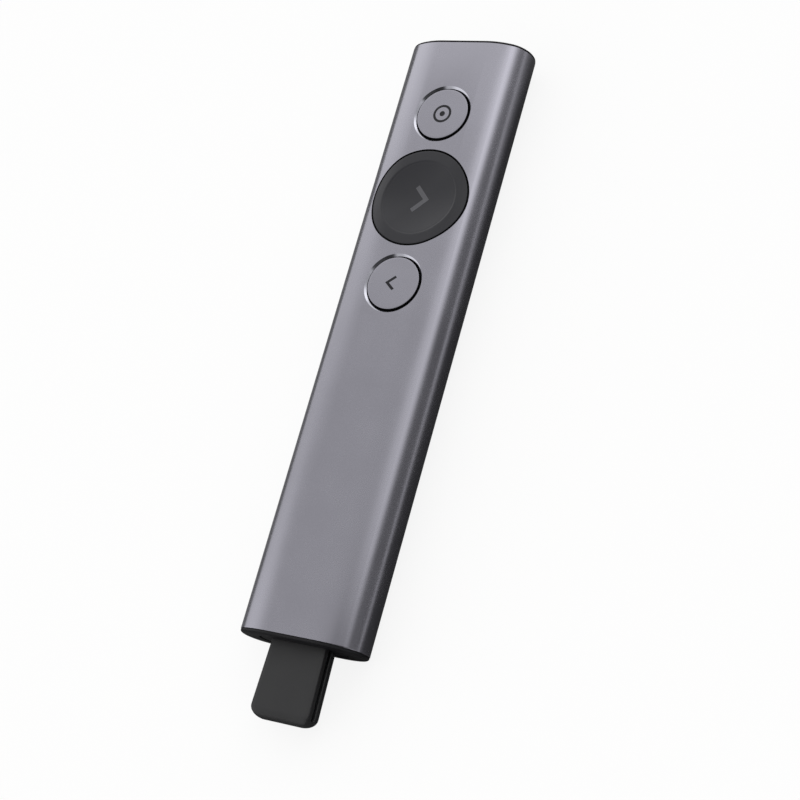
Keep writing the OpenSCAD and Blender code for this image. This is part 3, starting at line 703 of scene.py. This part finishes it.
class CLICKER_OT_next_button(Step, bpy.types.Operator):
    """Makes the big next button with its dish for the thumb"""
    bl_idname = "clicker.next_button"
    bl_label = "Next button"

    def execute(self, context):
        _, keys, _ = sizes()
        (lo, hi), y = KEYS["next_button"], KEY_Y["next_button"]
        top, fillet, step = TUBE_HI.z, keys.dish_fillet, keys.dish_step
        depth, dish_r = keys.dish_depth, keys.dish_r
        # Each ring's radius, its height in the middle, and its share of the body's crown
        rings = [(dish_r + fillet * (1 - t), top - step * t * t * (3 - 2 * t), 1)
                 for t in (row / SHOULDER_ROWS for row in range(1, SHOULDER_ROWS))]
        rings += [(dish_r * r, top - depth + (depth - step) * r ** 2, r ** 2)
                  for r in (1 - ring / DISH_RINGS * (1 - DISH_EYE)
                            for ring in range(DISH_RINGS + 1))]
        cap = key_cap("next_cap", y, keys.big_r, keys.flange_z + keys.tongue_show,
                      dish=(dish_r + fillet, rings))
        tongues = block("tongues", (-keys.tongue_w / 2, lo.y, keys.flange_z),
                        (keys.tongue_w / 2, hi.y, keys.flange_z + keys.flange_t))
        carve(cap, tongues, *stem_and_pins(y, lo.z), how="UNION")

        # The skirt's upright sides outside the dish get painted shade, near black, for the shadow
        # in the gap round the button
        def skirt(face):
            place = face.calc_center_median()
            return (abs(face.normal.z) < 0.1
                    and math.hypot(place.x, place.y - y) > dish_r + fillet)

        finish(cap, "soft_touch_coating", "next_key", "next_button", 35,
               {"gap_black": skirt})
        return {"FINISHED"}


def arrow(name, tip_x, y, z, reach, rise, stroke):
    """A flat arrowhead of two arms that meet at a square corner and end square.

    Its corner's middle lies at tip_x, and its arms end reach away from there, left or right."""
    # An L of two arms, turned so that its corner points along X, then stretched to its reach
    arm = rise * math.sqrt(2) + stroke / 2
    flat = start(bpy.ops.mesh.primitive_plane_add, name, size=stroke,
                 location=(-stroke / 2, stroke / 2, z))
    edit(flat)
    pick("EDGE", all_at(X, -stroke))
    extrude(x=stroke - arm)
    pick("EDGE", lambda edge: all_at(Y, stroke)(edge)
         and all(v.co.x > -stroke - 1e-6 for v in edge.verts))
    extrude(y=arm - stroke)
    bpy.ops.mesh.select_all(action="SELECT")
    # With no window, rotate turns the other way
    bpy.ops.transform.rotate(value=-math.radians(45), orient_axis="Z", orient_type="GLOBAL",
                             center_override=(0, 0, z))
    move(x=stroke / math.sqrt(2))
    scale(-reach / rise, 1, 1, (0, 0, z))
    move(x=tip_x, y=y)
    face_out(flat)
    return flat


class CLICKER_OT_icons(Step, bpy.types.Operator):
    """Prints the icons: a ring with a dot, a small arrow to the left and a big one to the right"""
    bl_idname = "clicker.icons"
    bl_label = "Icons"

    def execute(self, context):
        _, keys, _ = sizes()
        small_z = TUBE_HI.z - keys.recess + keys.print_t
        place = (0, KEY_Y["pointer_button"], small_z)
        ring = disc("pointer_icon", keys.ring_r, place, 96)
        edit(ring)
        bpy.ops.mesh.inset(thickness=keys.ring_w, depth=0)
        bpy.ops.mesh.delete(type="FACE")
        join(ring, disc("dot", keys.dot_r, place, 48))

        small = arrow("back_arrow", keys.back_tip, KEY_Y["back_button"], small_z,
                      keys.back_reach, keys.back_rise, keys.back_stroke)

        # The big arrow is laid into the dish
        big = arrow("next_arrow", keys.next_tip, KEY_Y["next_button"], TUBE_HI.z + MM,
                    -keys.next_reach, keys.next_rise, keys.next_stroke)
        edit(big)
        bpy.ops.mesh.subdivide(number_cuts=9)
        lay_on(big, bpy.data.objects["next_cap"], offset=keys.print_t)

        for icon, ink, body, slot in ((ring, "dark_ink", "pointer_key", "black_cap"),
                                      (small, "dark_ink", "back_key", "black_cap"),
                                      (big, "grey_ink", "next_key", "soft_touch_button")):
            edit(icon)
            extrude(z=-keys.print_sink)
            face_out(icon)
            finish(icon, ink, body)
        return {"FINISHED"}


# ---- Receiver ----

def case_end():
    """Where the receiver's case ends, just inside the rear cap's face."""
    _, _, receiver = sizes()
    return REAR_CAP[0].y + receiver.case_show


class CLICKER_OT_receiver_case(Step, bpy.types.Operator):
    """Moulds the receiver's case with the pocket for the tab and the hole for the plug"""
    bl_idname = "clicker.receiver_case"
    bl_label = "Receiver case"

    def execute(self, context):
        _, _, receiver = sizes()
        lo, hi = Vector((CASE[0].x, case_end(), CASE[0].z)), CASE[1]
        case = rounded_block("receiver_case", lo, hi, receiver.case_r, 16)
        bevel(case, receiver.case_edge, 4,
              lambda edge: all_at(Y, lo.y)(edge) or all_at(Y, hi.y)(edge))
        # Gap round the tab, and how far the plug's hole runs into the cavity
        slip, overlap = 0.05 * MM, 0.1 * MM
        tab_lo, tab_hi = TAB
        half_w = receiver.root_w / 2 + slip
        pocket = block("pocket", (-half_w, lo.y - MM, tab_lo.z - slip),
                       (half_w, tab_hi.y, tab_hi.z + slip))
        board_lo, board_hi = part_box("receiver_board")
        plug_lo, plug_hi = PLUG
        cavity = block("cavity",
                       (board_lo.x - receiver.board_gap, tab_hi.y + receiver.pocket_wall,
                        board_lo.z),
                       (board_hi.x + receiver.board_gap, plug_lo.y, 2 * MID_Z - board_lo.z))
        hole = block("hole", (plug_lo.x, plug_lo.y - overlap, plug_lo.z),
                     (plug_hi.x, hi.y + MM, plug_hi.z))
        carve(case, pocket, cavity, hole)
        finish(case, "spark_eroded_abs", "receiver", "receiver_housing")
        return {"FINISHED"}


class CLICKER_OT_plug(Step, bpy.types.Operator):
    """Folds the plug's shell from sheet and punches its four windows"""
    bl_idname = "clicker.plug"
    bl_label = "Plug"

    def execute(self, context):
        _, _, receiver = sizes()
        lo, hi = PLUG
        shell = rounded_block("plug_shell", lo, hi, receiver.plug_r, 6)
        edit(shell)
        pick("FACE", lambda face: abs(face.normal.y) > 0.9)
        bpy.ops.mesh.delete(type="FACE")
        use_modifier(shell, "SOLIDIFY", thickness=receiver.sheet_t, offset=-1,
                     use_even_offset=True)
        near_y = CASE[1].y + receiver.window_y
        half_w = receiver.window_w / 2
        # Each punch goes through the top and the underside
        carve(shell, *(block("punch", (x - half_w, near_y, lo.z - MM),
                             (x + half_w, near_y + receiver.window_l, hi.z + MM))
                       for x in ((lo.x - hi.x) / 4, (hi.x - lo.x) / 4)))
        bevel(shell, receiver.mouth_r, 2, all_at(Y, hi.y))
        finish(shell, "plated_steel", "receiver", "receiver_plug")
        return {"FINISHED"}


class CLICKER_OT_pull_tab(Step, bpy.types.Operator):
    """Folds the pull tab from a thick strap and rounds its corners and edges"""
    bl_idname = "clicker.pull_tab"
    bl_label = "Pull tab"

    def execute(self, context):
        _, _, receiver = sizes()
        lo, hi = TAB
        half_w, half_root = receiver.tab_w / 2, receiver.root_w / 2
        fold_r = (hi.z - lo.z - receiver.layer_t) / 2
        end_y = lo.y + receiver.tab_slack
        fold_y = end_y + (hi.z - lo.z) / 2
        # Side view of the strap's middle: out along the top, round the fold and back
        strap = point("pull_loop", (-half_w, hi.y, MID_Z + fold_r))
        for _ in range(STRAP_RUNS):
            extrude_points(y=(fold_y - hi.y) / STRAP_RUNS)
        bpy.ops.mesh.spin(steps=receiver.fold_steps, angle=-math.pi,
                          center=(-half_w, fold_y, MID_Z), axis=(1, 0, 0))
        for _ in range(STRAP_RUNS):
            extrude_points(y=(hi.y - fold_y) / STRAP_RUNS)
        bpy.ops.mesh.select_all(action="SELECT")
        for _ in range(STRAP_COLUMNS):
            extrude(x=2 * half_w / STRAP_COLUMNS)
        face_out(strap)
        use_modifier(strap, "SOLIDIFY", thickness=receiver.layer_t, offset=0,
                     use_even_offset=True)
        use_modifier(strap, "BEVEL", width=receiver.tab_edge, segments=4,
                     limit_method="ANGLE", angle_limit=math.radians(60))
        # Seen from above, each row of points is drawn in, to a taper and to round corners
        corner_r = receiver.tab_corner
        corner_y = end_y + corner_r
        root_y = REAR_CAP[0].y
        same_row = 2e-6
        rows = []
        for y in sorted(v.co.y for v in strap.data.vertices):
            if not rows or y - rows[-1] > same_row:
                rows.append(y)
        edit(strap)
        for row in rows:
            taper = min(1.0, max(0.0, (row - corner_y) / (root_y - corner_y)))
            drop = min(corner_r, max(0.0, corner_y - row))
            edge_x = (half_w + (half_root - half_w) * taper
                      - corner_r + math.sqrt(corner_r ** 2 - drop ** 2))
            pick("VERT", all_at(Y, row, same_row))
            scale(edge_x / half_w, 1, 1, (0, row, MID_Z))
        # A filler between the layers joins them inside the case, a little inside their edges
        side, back = half_root - 0.2 * MM, hi.y - 0.1 * MM
        carve(strap, block("root", (-side, case_end(), MID_Z - fold_r),
                           (side, back, MID_Z + fold_r)), how="UNION")
        finish(strap, "moulded_elastomer", "receiver", "receiver_pull_tab", 40)
        return {"FINISHED"}


# ---- Finishes ----

def add_node(tree, kind, inputs=None, **settings):
    """Adds a shader node, sets its choices, then fills or links its inputs.

    An input that is given a node is linked to that node's first output."""
    node = tree.nodes.new("ShaderNode" + kind)
    for key, value in settings.items():
        setattr(node, key, value)
    for key, value in (inputs or {}).items():
        socket = node.inputs[key]
        if isinstance(value, bpy.types.Node):
            value = value.outputs[0]
        if isinstance(value, bpy.types.NodeSocket):
            tree.links.new(value, socket)
        else:
            socket.default_value = value
    return node


def empty_tree(owner):
    """Turns on the nodes of a material or a world and gives its tree, cleared."""
    owner.use_nodes = True
    owner.node_tree.nodes.clear()
    return owner.node_tree


def new_material(name, surface):
    """A material whose shader surface adds to its tree."""
    material = bpy.data.materials.new(name)
    tree = empty_tree(material)
    add_node(tree, "OutputMaterial", {"Surface": surface(tree)})
    return material


def rgba(values):
    return (*values, 1.0)


def per_mm(size):
    """The texture scale at which one feature is this many millimetres."""
    return 1 / (size * MM)


def grained(tint, roughness, metallic=0.0, grain=0.2, relief=0.002, spread=0.03, shade=0.04,
            blotch=12.0, stretch=(1, 1, 1), cells=False, specular=0.5, **extra):
    """A finish whose tone, gloss and relief follow one fine grain and broad, faint blotches.

    tint is a hex colour, or one of the colours in the settings. grain and blotch are sizes
    in millimetres, relief is the grain's height and stretch draws the grain out along an
    axis. With cells, the grain is rounded pits instead of noise."""
    def make(tree, place):
        base = (linear(tint) if tint.startswith("#")
                else getattr(bpy.context.scene.clicker_colours, tint))
        drawn = add_node(tree, "Mapping", {"Vector": place, "Scale": stretch})
        if cells:
            fine = add_node(tree, "TexVoronoi", {
                "Vector": drawn, "Scale": per_mm(grain)})
        else:
            fine = add_node(tree, "TexNoise", {
                "Vector": drawn, "Scale": per_mm(grain), "Detail": 3.0})
        broad = add_node(tree, "TexNoise", {
            "Vector": place, "Scale": per_mm(blotch), "Detail": 2.0})
        both = add_node(tree, "Math", {0: fine, 1: broad}, operation="ADD")
        share = add_node(tree, "MapRange", {
            "Value": both, "From Min": 0.7, "From Max": 1.3})
        tone = add_node(tree, "Mix", {
            0: share, 6: rgba([c * (1 - shade) for c in base]),
            7: rgba([min(1.0, c * (1 + shade)) for c in base])}, data_type="RGBA")
        gloss = add_node(tree, "MapRange", {
            "Value": share, "To Min": roughness - spread, "To Max": roughness + spread})
        bump = add_node(tree, "Bump", {
            "Height": fine, "Strength": 1.0, "Distance": relief * MM})
        return {"Base Color": tone.outputs[2], "Metallic": metallic, "Roughness": gloss,
                "Normal": bump, "Specular IOR Level": specular, **extra}
    return make


def masked_board(tree, place):
    """Inputs for traces 0.2 mm wide that shine through green solder mask."""
    traces = add_node(tree, "TexBrick", {
        "Vector": place, "Color1": rgba(linear("#14402C")), "Color2": rgba(linear("#184A33")),
        "Mortar": rgba(linear("#2F6B4A")), "Scale": per_mm(1), "Mortar Size": 0.1,
        "Mortar Smooth": 0.2, "Brick Width": 4.5, "Row Height": 1.1})
    bump = add_node(tree, "Bump", {
        "Height": traces.outputs["Fac"], "Strength": 1.0, "Distance": 0.03 * MM})
    gloss = add_node(tree, "MapRange", {
        "Value": traces.outputs["Fac"], "To Min": 0.28, "To Max": 0.4})
    return {"Base Color": traces, "Roughness": gloss, "Normal": bump}


def two_leads(tree, place):
    """Inputs for a red lead at the left and a black one at the right."""
    axes = add_node(tree, "SeparateXYZ", {"Vector": place})
    right = add_node(tree, "Math", {0: axes, 1: 0.0}, operation="GREATER_THAN")
    made = grained("#141415", 0.4, grain=0.3, relief=0.003)(tree, place)
    made["Base Color"] = add_node(tree, "Mix", {
        0: right, 6: rgba(linear("#8E1B1B")), 7: made["Base Color"]},
        data_type="RGBA").outputs[2]
    return made


# What the ink of the icons shares: pad-printed, flat, with tiny unevenness in its cover
INK = {"grain": 0.15, "relief": 0.001, "shade": 0.06, "blotch": 1.5, "specular": 0.25}
# Each finish is named for what the real one is. It gets the tree and Object coordinates, and
# gives the shader's inputs.
FINISHES = {
    # Bead-blasted, then anodised: satin metal with a fine sparkle. The blasted grain is
    # 0.05 mm and is drawn coarser, so that it shows.
    "anodised_aluminium": grained("slate", 0.25, 1.0, grain=0.3, spread=0.04),
    # Metal-flake lacquer on plastic: the tube's colour, with a slightly finer grain
    "metallic_paint": grained("slate", 0.26, 1.0, grain=0.26, relief=0.0018),
    # Diamond-cut edge: bright and smooth, with hair-fine turning marks
    "cut_aluminium": grained("cut_metal", 0.15, 1.0, grain=0.12, relief=0.0004,
                             stretch=(1, 1, 0.2)),
    # Black ABS from a spark-eroded mould: an even, fine matt grain
    "spark_eroded_abs": grained("cap_black", 0.5, grain=0.18, relief=0.003, spread=0.05,
                                shade=0.08, cells=True, specular=0.25),
    # Painted shade inside the gaps: a near-black matt finish on the holes' walls and the buttons'
    # skirts stands in for the shadow deep in the narrow gaps
    "gap_black": grained("#060608", 0.8, specular=0.2),
    # Sprayed soft-touch coating: a faint, silky sheen over a very fine orange peel
    "soft_touch_coating": grained("soft_black", 0.44, grain=0.22, relief=0.0025, spread=0.04,
                                  shade=0.08, specular=0.43),
    # Moulded TPE: deep matt black with soft mottling
    "moulded_elastomer": grained("tab_black", 0.5, grain=0.24, relief=0.004, spread=0.06,
                                 shade=0.12, blotch=5.0),
    "dark_ink": grained("dark_print", 0.5, **INK),
    "grey_ink": grained("grey_print", 0.5, **INK),
    # Folded steel with nickel plating: drawn lines along the sheet, softened by the plating
    "plated_steel": grained("#C9C7C2", 0.24, 1.0, grain=0.15, relief=0.0008, spread=0.06,
                            stretch=(1, 0.06, 1), blotch=4.0),
    # Glass-filled PC from a plain mould: dull grey with faint flow marks
    "moulded_polycarbonate": grained("#3E3F43", 0.48, grain=0.3, relief=0.004, shade=0.08,
                                     stretch=(1, 0.3, 1)),
    # Cold-rolled, stamped stainless steel: rolling lines along the sheet
    "stamped_stainless": grained("#BDBDBF", 0.3, 1.0, relief=0.001, spread=0.06,
                                 stretch=(1, 0.08, 1)),
    # Transfer-moulded epoxy: charcoal with a fine, dry grain
    "moulded_epoxy": grained("#202123", 0.6, grain=0.12, relief=0.003, shade=0.1),
    # Moulded nylon: brownish, half matt
    "moulded_nylon": grained("#4C3C30", 0.45),
    # Glass-epoxy board under solder mask: green and glossy, with its traces raised
    "masked_board": masked_board,
    # Fired ceramic: chalky white with small specks
    "fired_ceramic": grained("#D6D0C2", 0.55, grain=0.25, relief=0.004, shade=0.1),
    # Moulded acrylic: clear, with a hint of haze
    "moulded_acrylic": grained("#F2F5F6", 0.12, grain=0.4, relief=0.0005, spread=0.04,
                               shade=0.01, **{"Transmission Weight": 1.0, "IOR": 1.49}),
    # Aluminium laminate pouch, pressed and crimped: soft silver creases
    "pressed_laminate": grained("#C2C4C8", 0.34, 0.9, grain=2.2, relief=0.06, spread=0.08,
                                cells=True),
    # Cast acrylic adhesive on its paper: milky and slightly wavy
    "cast_adhesive": grained("#D9D2BC", 0.4, grain=1.2, relief=0.02, shade=0.05),
    # Open-cell polyurethane foam: dark, with pits half a millimetre across
    "open_cell_foam": grained("#27272A", 0.9, grain=0.5, relief=0.15, shade=0.3, cells=True),
    # Extruded PVC insulation: smooth, with a soft shine
    "extruded_insulation": two_leads,
    # Sintered tungsten alloy: dark metal with a powdery grain
    "sintered_tungsten": grained("#8C857A", 0.42, 1.0, grain=0.15, relief=0.004, shade=0.12),
    # Die-cut acrylic foam tape: black and dull
    "die_cut_tape": grained("#0C0C0D", 0.75, relief=0.004, shade=0.15),
    # Hard gold over nickel: warm and bright
    "plated_gold": grained("#D8B25A", 0.25, 1.0, grain=0.15, relief=0.0008,
                           stretch=(1, 0.1, 1)),
    # Moulded black liquid-crystal polymer: smoother than the cases
    "moulded_polymer": grained("#161618", 0.35),
}
# The finish that stands for each of the packed model's, on the parts that keep their shape
DRESSED = {
    "inner_plastic": "moulded_polycarbonate", "bright_steel": "stamped_stainless",
    "chip_black": "moulded_epoxy", "switch_plastic": "moulded_nylon",
    "circuit_board": "masked_board", "ceramic": "fired_ceramic",
    "clear_plastic": "moulded_acrylic", "battery_foil": "pressed_laminate",
    "adhesive_pad": "cast_adhesive", "foam": "open_cell_foam",
    "lead_insulation": "extruded_insulation", "brass_weight": "sintered_tungsten",
    "black_adhesive": "die_cut_tape",
}
# Parts that look different from the packed model's finish
SPECIAL = {"receiver_contacts": "plated_gold", "receiver_tongue": "moulded_polymer",
           "charge_port_tongue": "moulded_polymer"}


def finish_named(name):
    """One of the finishes, made when it is first asked for."""
    def surface(tree):
        place = add_node(tree, "TexCoord").outputs["Object"]
        return add_node(tree, "BsdfPrincipled", FINISHES[name](tree, place))
    return bpy.data.materials.get(name) or new_material(name, surface)


class CLICKER_OT_inner_finishes(Step, bpy.types.Operator):
    """Gives the parts that keep their own shape their finishes"""
    bl_idname = "clicker.inner_finishes"
    bl_label = "Inner finishes"

    def execute(self, context):
        for node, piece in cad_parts.items():
            for place in piece.material_slots:
                name = SPECIAL.get(node) or DRESSED.get(place.material.name)
                if name:
                    place.material = finish_named(name)
        return {"FINISHED"}


# ---- Stage ----

def white_paper(tree):
    """Background paper that takes a shadow and looks near white, also in reflections."""
    stage = bpy.context.scene.clicker_stage
    paper = add_node(tree, "BsdfDiffuse", {"Color": rgba(stage.floor)})
    white = add_node(tree, "Emission", {"Color": (1, 1, 1, 1), "Strength": 1.0})
    ray = add_node(tree, "LightPath").outputs
    seen = ray["Is Camera Ray"]
    for kind in ("Is Glossy Ray", "Is Transmission Ray"):
        seen = add_node(tree, "Math", {0: seen, 1: ray[kind]}, operation="MAXIMUM")
    share = add_node(tree, "Math", {0: seen, 1: stage.floor_glow},
                     operation="MULTIPLY")
    return add_node(tree, "MixShader", {"Fac": share, 1: paper, 2: white})


def grey_card(near, far):
    """Matt card that is one grey beside the clicker and another further off."""
    def surface(tree):
        place = add_node(tree, "TexCoord").outputs["Object"]
        axes = add_node(tree, "SeparateXYZ", {"Vector": place}).outputs
        # The change runs a little askew, so that it comes earlier towards the front
        off = add_node(tree, "Math", {0: axes["X"]}, operation="ABSOLUTE")
        askew = add_node(tree, "Math", {0: axes["Y"], 1: 0.2, 2: off},
                         operation="MULTIPLY_ADD")
        grey = add_node(tree, "MapRange", {
            "Value": askew, "From Min": 30 * MM, "From Max": 75 * MM, "To Min": near,
            "To Max": far})
        return add_node(tree, "BsdfDiffuse", {"Color": grey})
    return surface


class CLICKER_OT_stage(Step, bpy.types.Operator):
    """Lays the floor, hangs the studio light and sets up the camera"""
    bl_idname = "clicker.stage"
    bl_label = "Stage"

    def execute(self, context):
        scene = context.scene
        stage = scene.clicker_stage
        floor = start(bpy.ops.mesh.primitive_plane_add, "floor", size=8,
                      location=(0, 0, -0.03 * MM))
        floor.data.materials.append(new_material("white_paper", white_paper))

        # Cards round the clicker, which only reflections see, give its sides an edge
        side_size, rear_size = 0.5, 0.16
        beside = side_size / 2 + 9 * MM
        behind = REAR_CAP[0].y - rear_size / 2
        for name, size, place, near, far in (
            ("left_card", side_size, (-beside, 0, -0.01 * MM), stage.left_card, stage.left_far),
            ("right_card", side_size, (beside, 0, -0.01 * MM), stage.right_card,
             stage.right_far),
            ("rear_card", rear_size, (0, behind, -0.005 * MM), stage.rear_card,
             stage.rear_card),
        ):
            card = start(bpy.ops.mesh.primitive_plane_add, name, size=size, location=place)
            card.data.materials.append(new_material(name, grey_card(near, far)))
            card.visible_camera = card.visible_diffuse = card.visible_shadow = False
            card.visible_transmission = card.visible_volume_scatter = False

        scene.world = bpy.data.worlds.new("studio")
        self.studio_light(empty_tree(scene.world), stage)

        aim = Vector(stage.camera_aim) - Vector(stage.camera_place)
        stand = aim.to_track_quat("-Z", "Y") @ Matrix.Rotation(
            stage.camera_roll, 4, "Z").to_quaternion()
        bpy.ops.object.camera_add(location=stage.camera_place, rotation=stand.to_euler())
        camera = context.active_object
        camera.name = "camera"
        camera.data.sensor_width = 36
        camera.data.lens = stage.lens
        camera.data.clip_start, camera.data.clip_end = 0.01, 20
        camera.data.dof.use_dof = False
        scene.camera = camera
        scene.view_settings.view_transform = "Standard"
        return {"FINISHED"}

    @staticmethod
    def studio_light(tree, stage):
        """Softboxes at the left and overhead, a dark wall at the right, a flag and a lamp."""
        way = add_node(tree, "TexCoord").outputs["Generated"]
        axes = add_node(tree, "SeparateXYZ", {"Vector": way}).outputs
        # The left softbox fades towards the rear, and the wall leans in towards the front
        left, lean = (add_node(tree, "MapRange", {
            "Value": axes["Y"], "From Min": low, "From Max": high, "To Max": most})
            for low, high, most in ((0.12, 0.25, stage.sky_left), (0.27, 0.47, 0.07)))
        leaning = add_node(tree, "Math", {0: axes["X"], 1: lean}, operation="ADD")
        # How near a direction is to the flag's, and to the lamp's
        flagged, lit = (add_node(tree, "VectorMath", {
            0: way, 1: Vector(place).normalized()}, operation="DOT_PRODUCT").outputs["Value"]
            for place in (stage.flag_way, stage.lamp_way))
        level = stage.sky
        # Where each starts and is full, its value at both, and how it joins the others
        for along, (low, high), (at_low, at_high), how in (
            (axes["X"], (-0.5, -0.85), (0.0, left), "ADD"),
            (axes["X"], (0.06, 0.24), (0.0, stage.sky_strip), "ADD"),
            (leaning, (0.455, 0.805), (0.0, stage.sky_right), "ADD"),
            # Past the wall's two ends the studio is plain
            (axes["Y"], (-0.05, -0.35), (0.0, stage.sky), "MAXIMUM"),
            (axes["Y"], (0.6, 0.9), (0.0, stage.sky), "MAXIMUM"),
            # The light grows towards the front
            (axes["Y"], (0.32, 0.6), (stage.sky_near, stage.sky_far), "MULTIPLY"),
            # The dark flag and the low lamp show in the cut edges
            (flagged, (0.81, 0.89), (1.0, stage.flag), "MULTIPLY"),
            (lit, (0.87, 0.96), (1.0, stage.lamp), "MULTIPLY"),
        ):
            share = add_node(tree, "MapRange", {
                "Value": along, "From Min": low, "From Max": high, "To Min": at_low,
                "To Max": at_high},
                interpolation_type="SMOOTHSTEP" if how == "ADD" else "LINEAR")
            level = add_node(tree, "Math", {0: level, 1: share}, operation=how)
        sky = add_node(tree, "Background", {"Color": (1, 1, 1, 1), "Strength": level})
        add_node(tree, "OutputWorld", {"Surface": sky})


# ---- Panel and registration ----

STEPS = (
    CLICKER_OT_inner_finishes,
    CLICKER_OT_tube,
    CLICKER_OT_front_cap,
    CLICKER_OT_rear_cap,
    CLICKER_OT_small_buttons,
    CLICKER_OT_next_button,
    CLICKER_OT_icons,
    CLICKER_OT_receiver_case,
    CLICKER_OT_plug,
    CLICKER_OT_pull_tab,
    CLICKER_OT_stage,
)
SETTINGS = {
    "clicker_body": ClickerBodySizes,
    "clicker_keys": ClickerKeySizes,
    "clicker_receiver": ClickerReceiverSizes,
    "clicker_colours": ClickerColours,
    "clicker_stage": ClickerStage,
}


class CLICKER_PT_panel(bpy.types.Panel):
    """Lists the settings and the steps in the order in which they run"""
    bl_idname = "CLICKER_PT_panel"
    bl_label = "Presentation Clicker"
    bl_space_type = "VIEW_3D"
    bl_region_type = "UI"
    bl_category = "Clicker"

    def draw(self, context):
        for name, group in SETTINGS.items():
            box = self.layout.box()
            box.label(text=group.__doc__)
            for key in group.__annotations__:
                box.prop(getattr(context.scene, name), key)
        for step in STEPS:
            self.layout.operator(step.bl_idname)


CLASSES = (*SETTINGS.values(), *STEPS, CLICKER_PT_panel)


def register():
    for kind in CLASSES:
        bpy.utils.register_class(kind)
    for name, group in SETTINGS.items():
        setattr(bpy.types.Scene, name, PointerProperty(type=group))


def unregister():
    for name in SETTINGS:
        delattr(bpy.types.Scene, name)
    for kind in reversed(CLASSES):
        bpy.utils.unregister_class(kind)


def main():
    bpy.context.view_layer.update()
    register()
    for step in STEPS:
        group, name = step.bl_idname.split(".")
        if getattr(getattr(bpy.ops, group), name)() != {"FINISHED"}:
            raise RuntimeError(f"{step.bl_label} was not finished")
    object_mode()


if __name__ == "__main__":
    main()
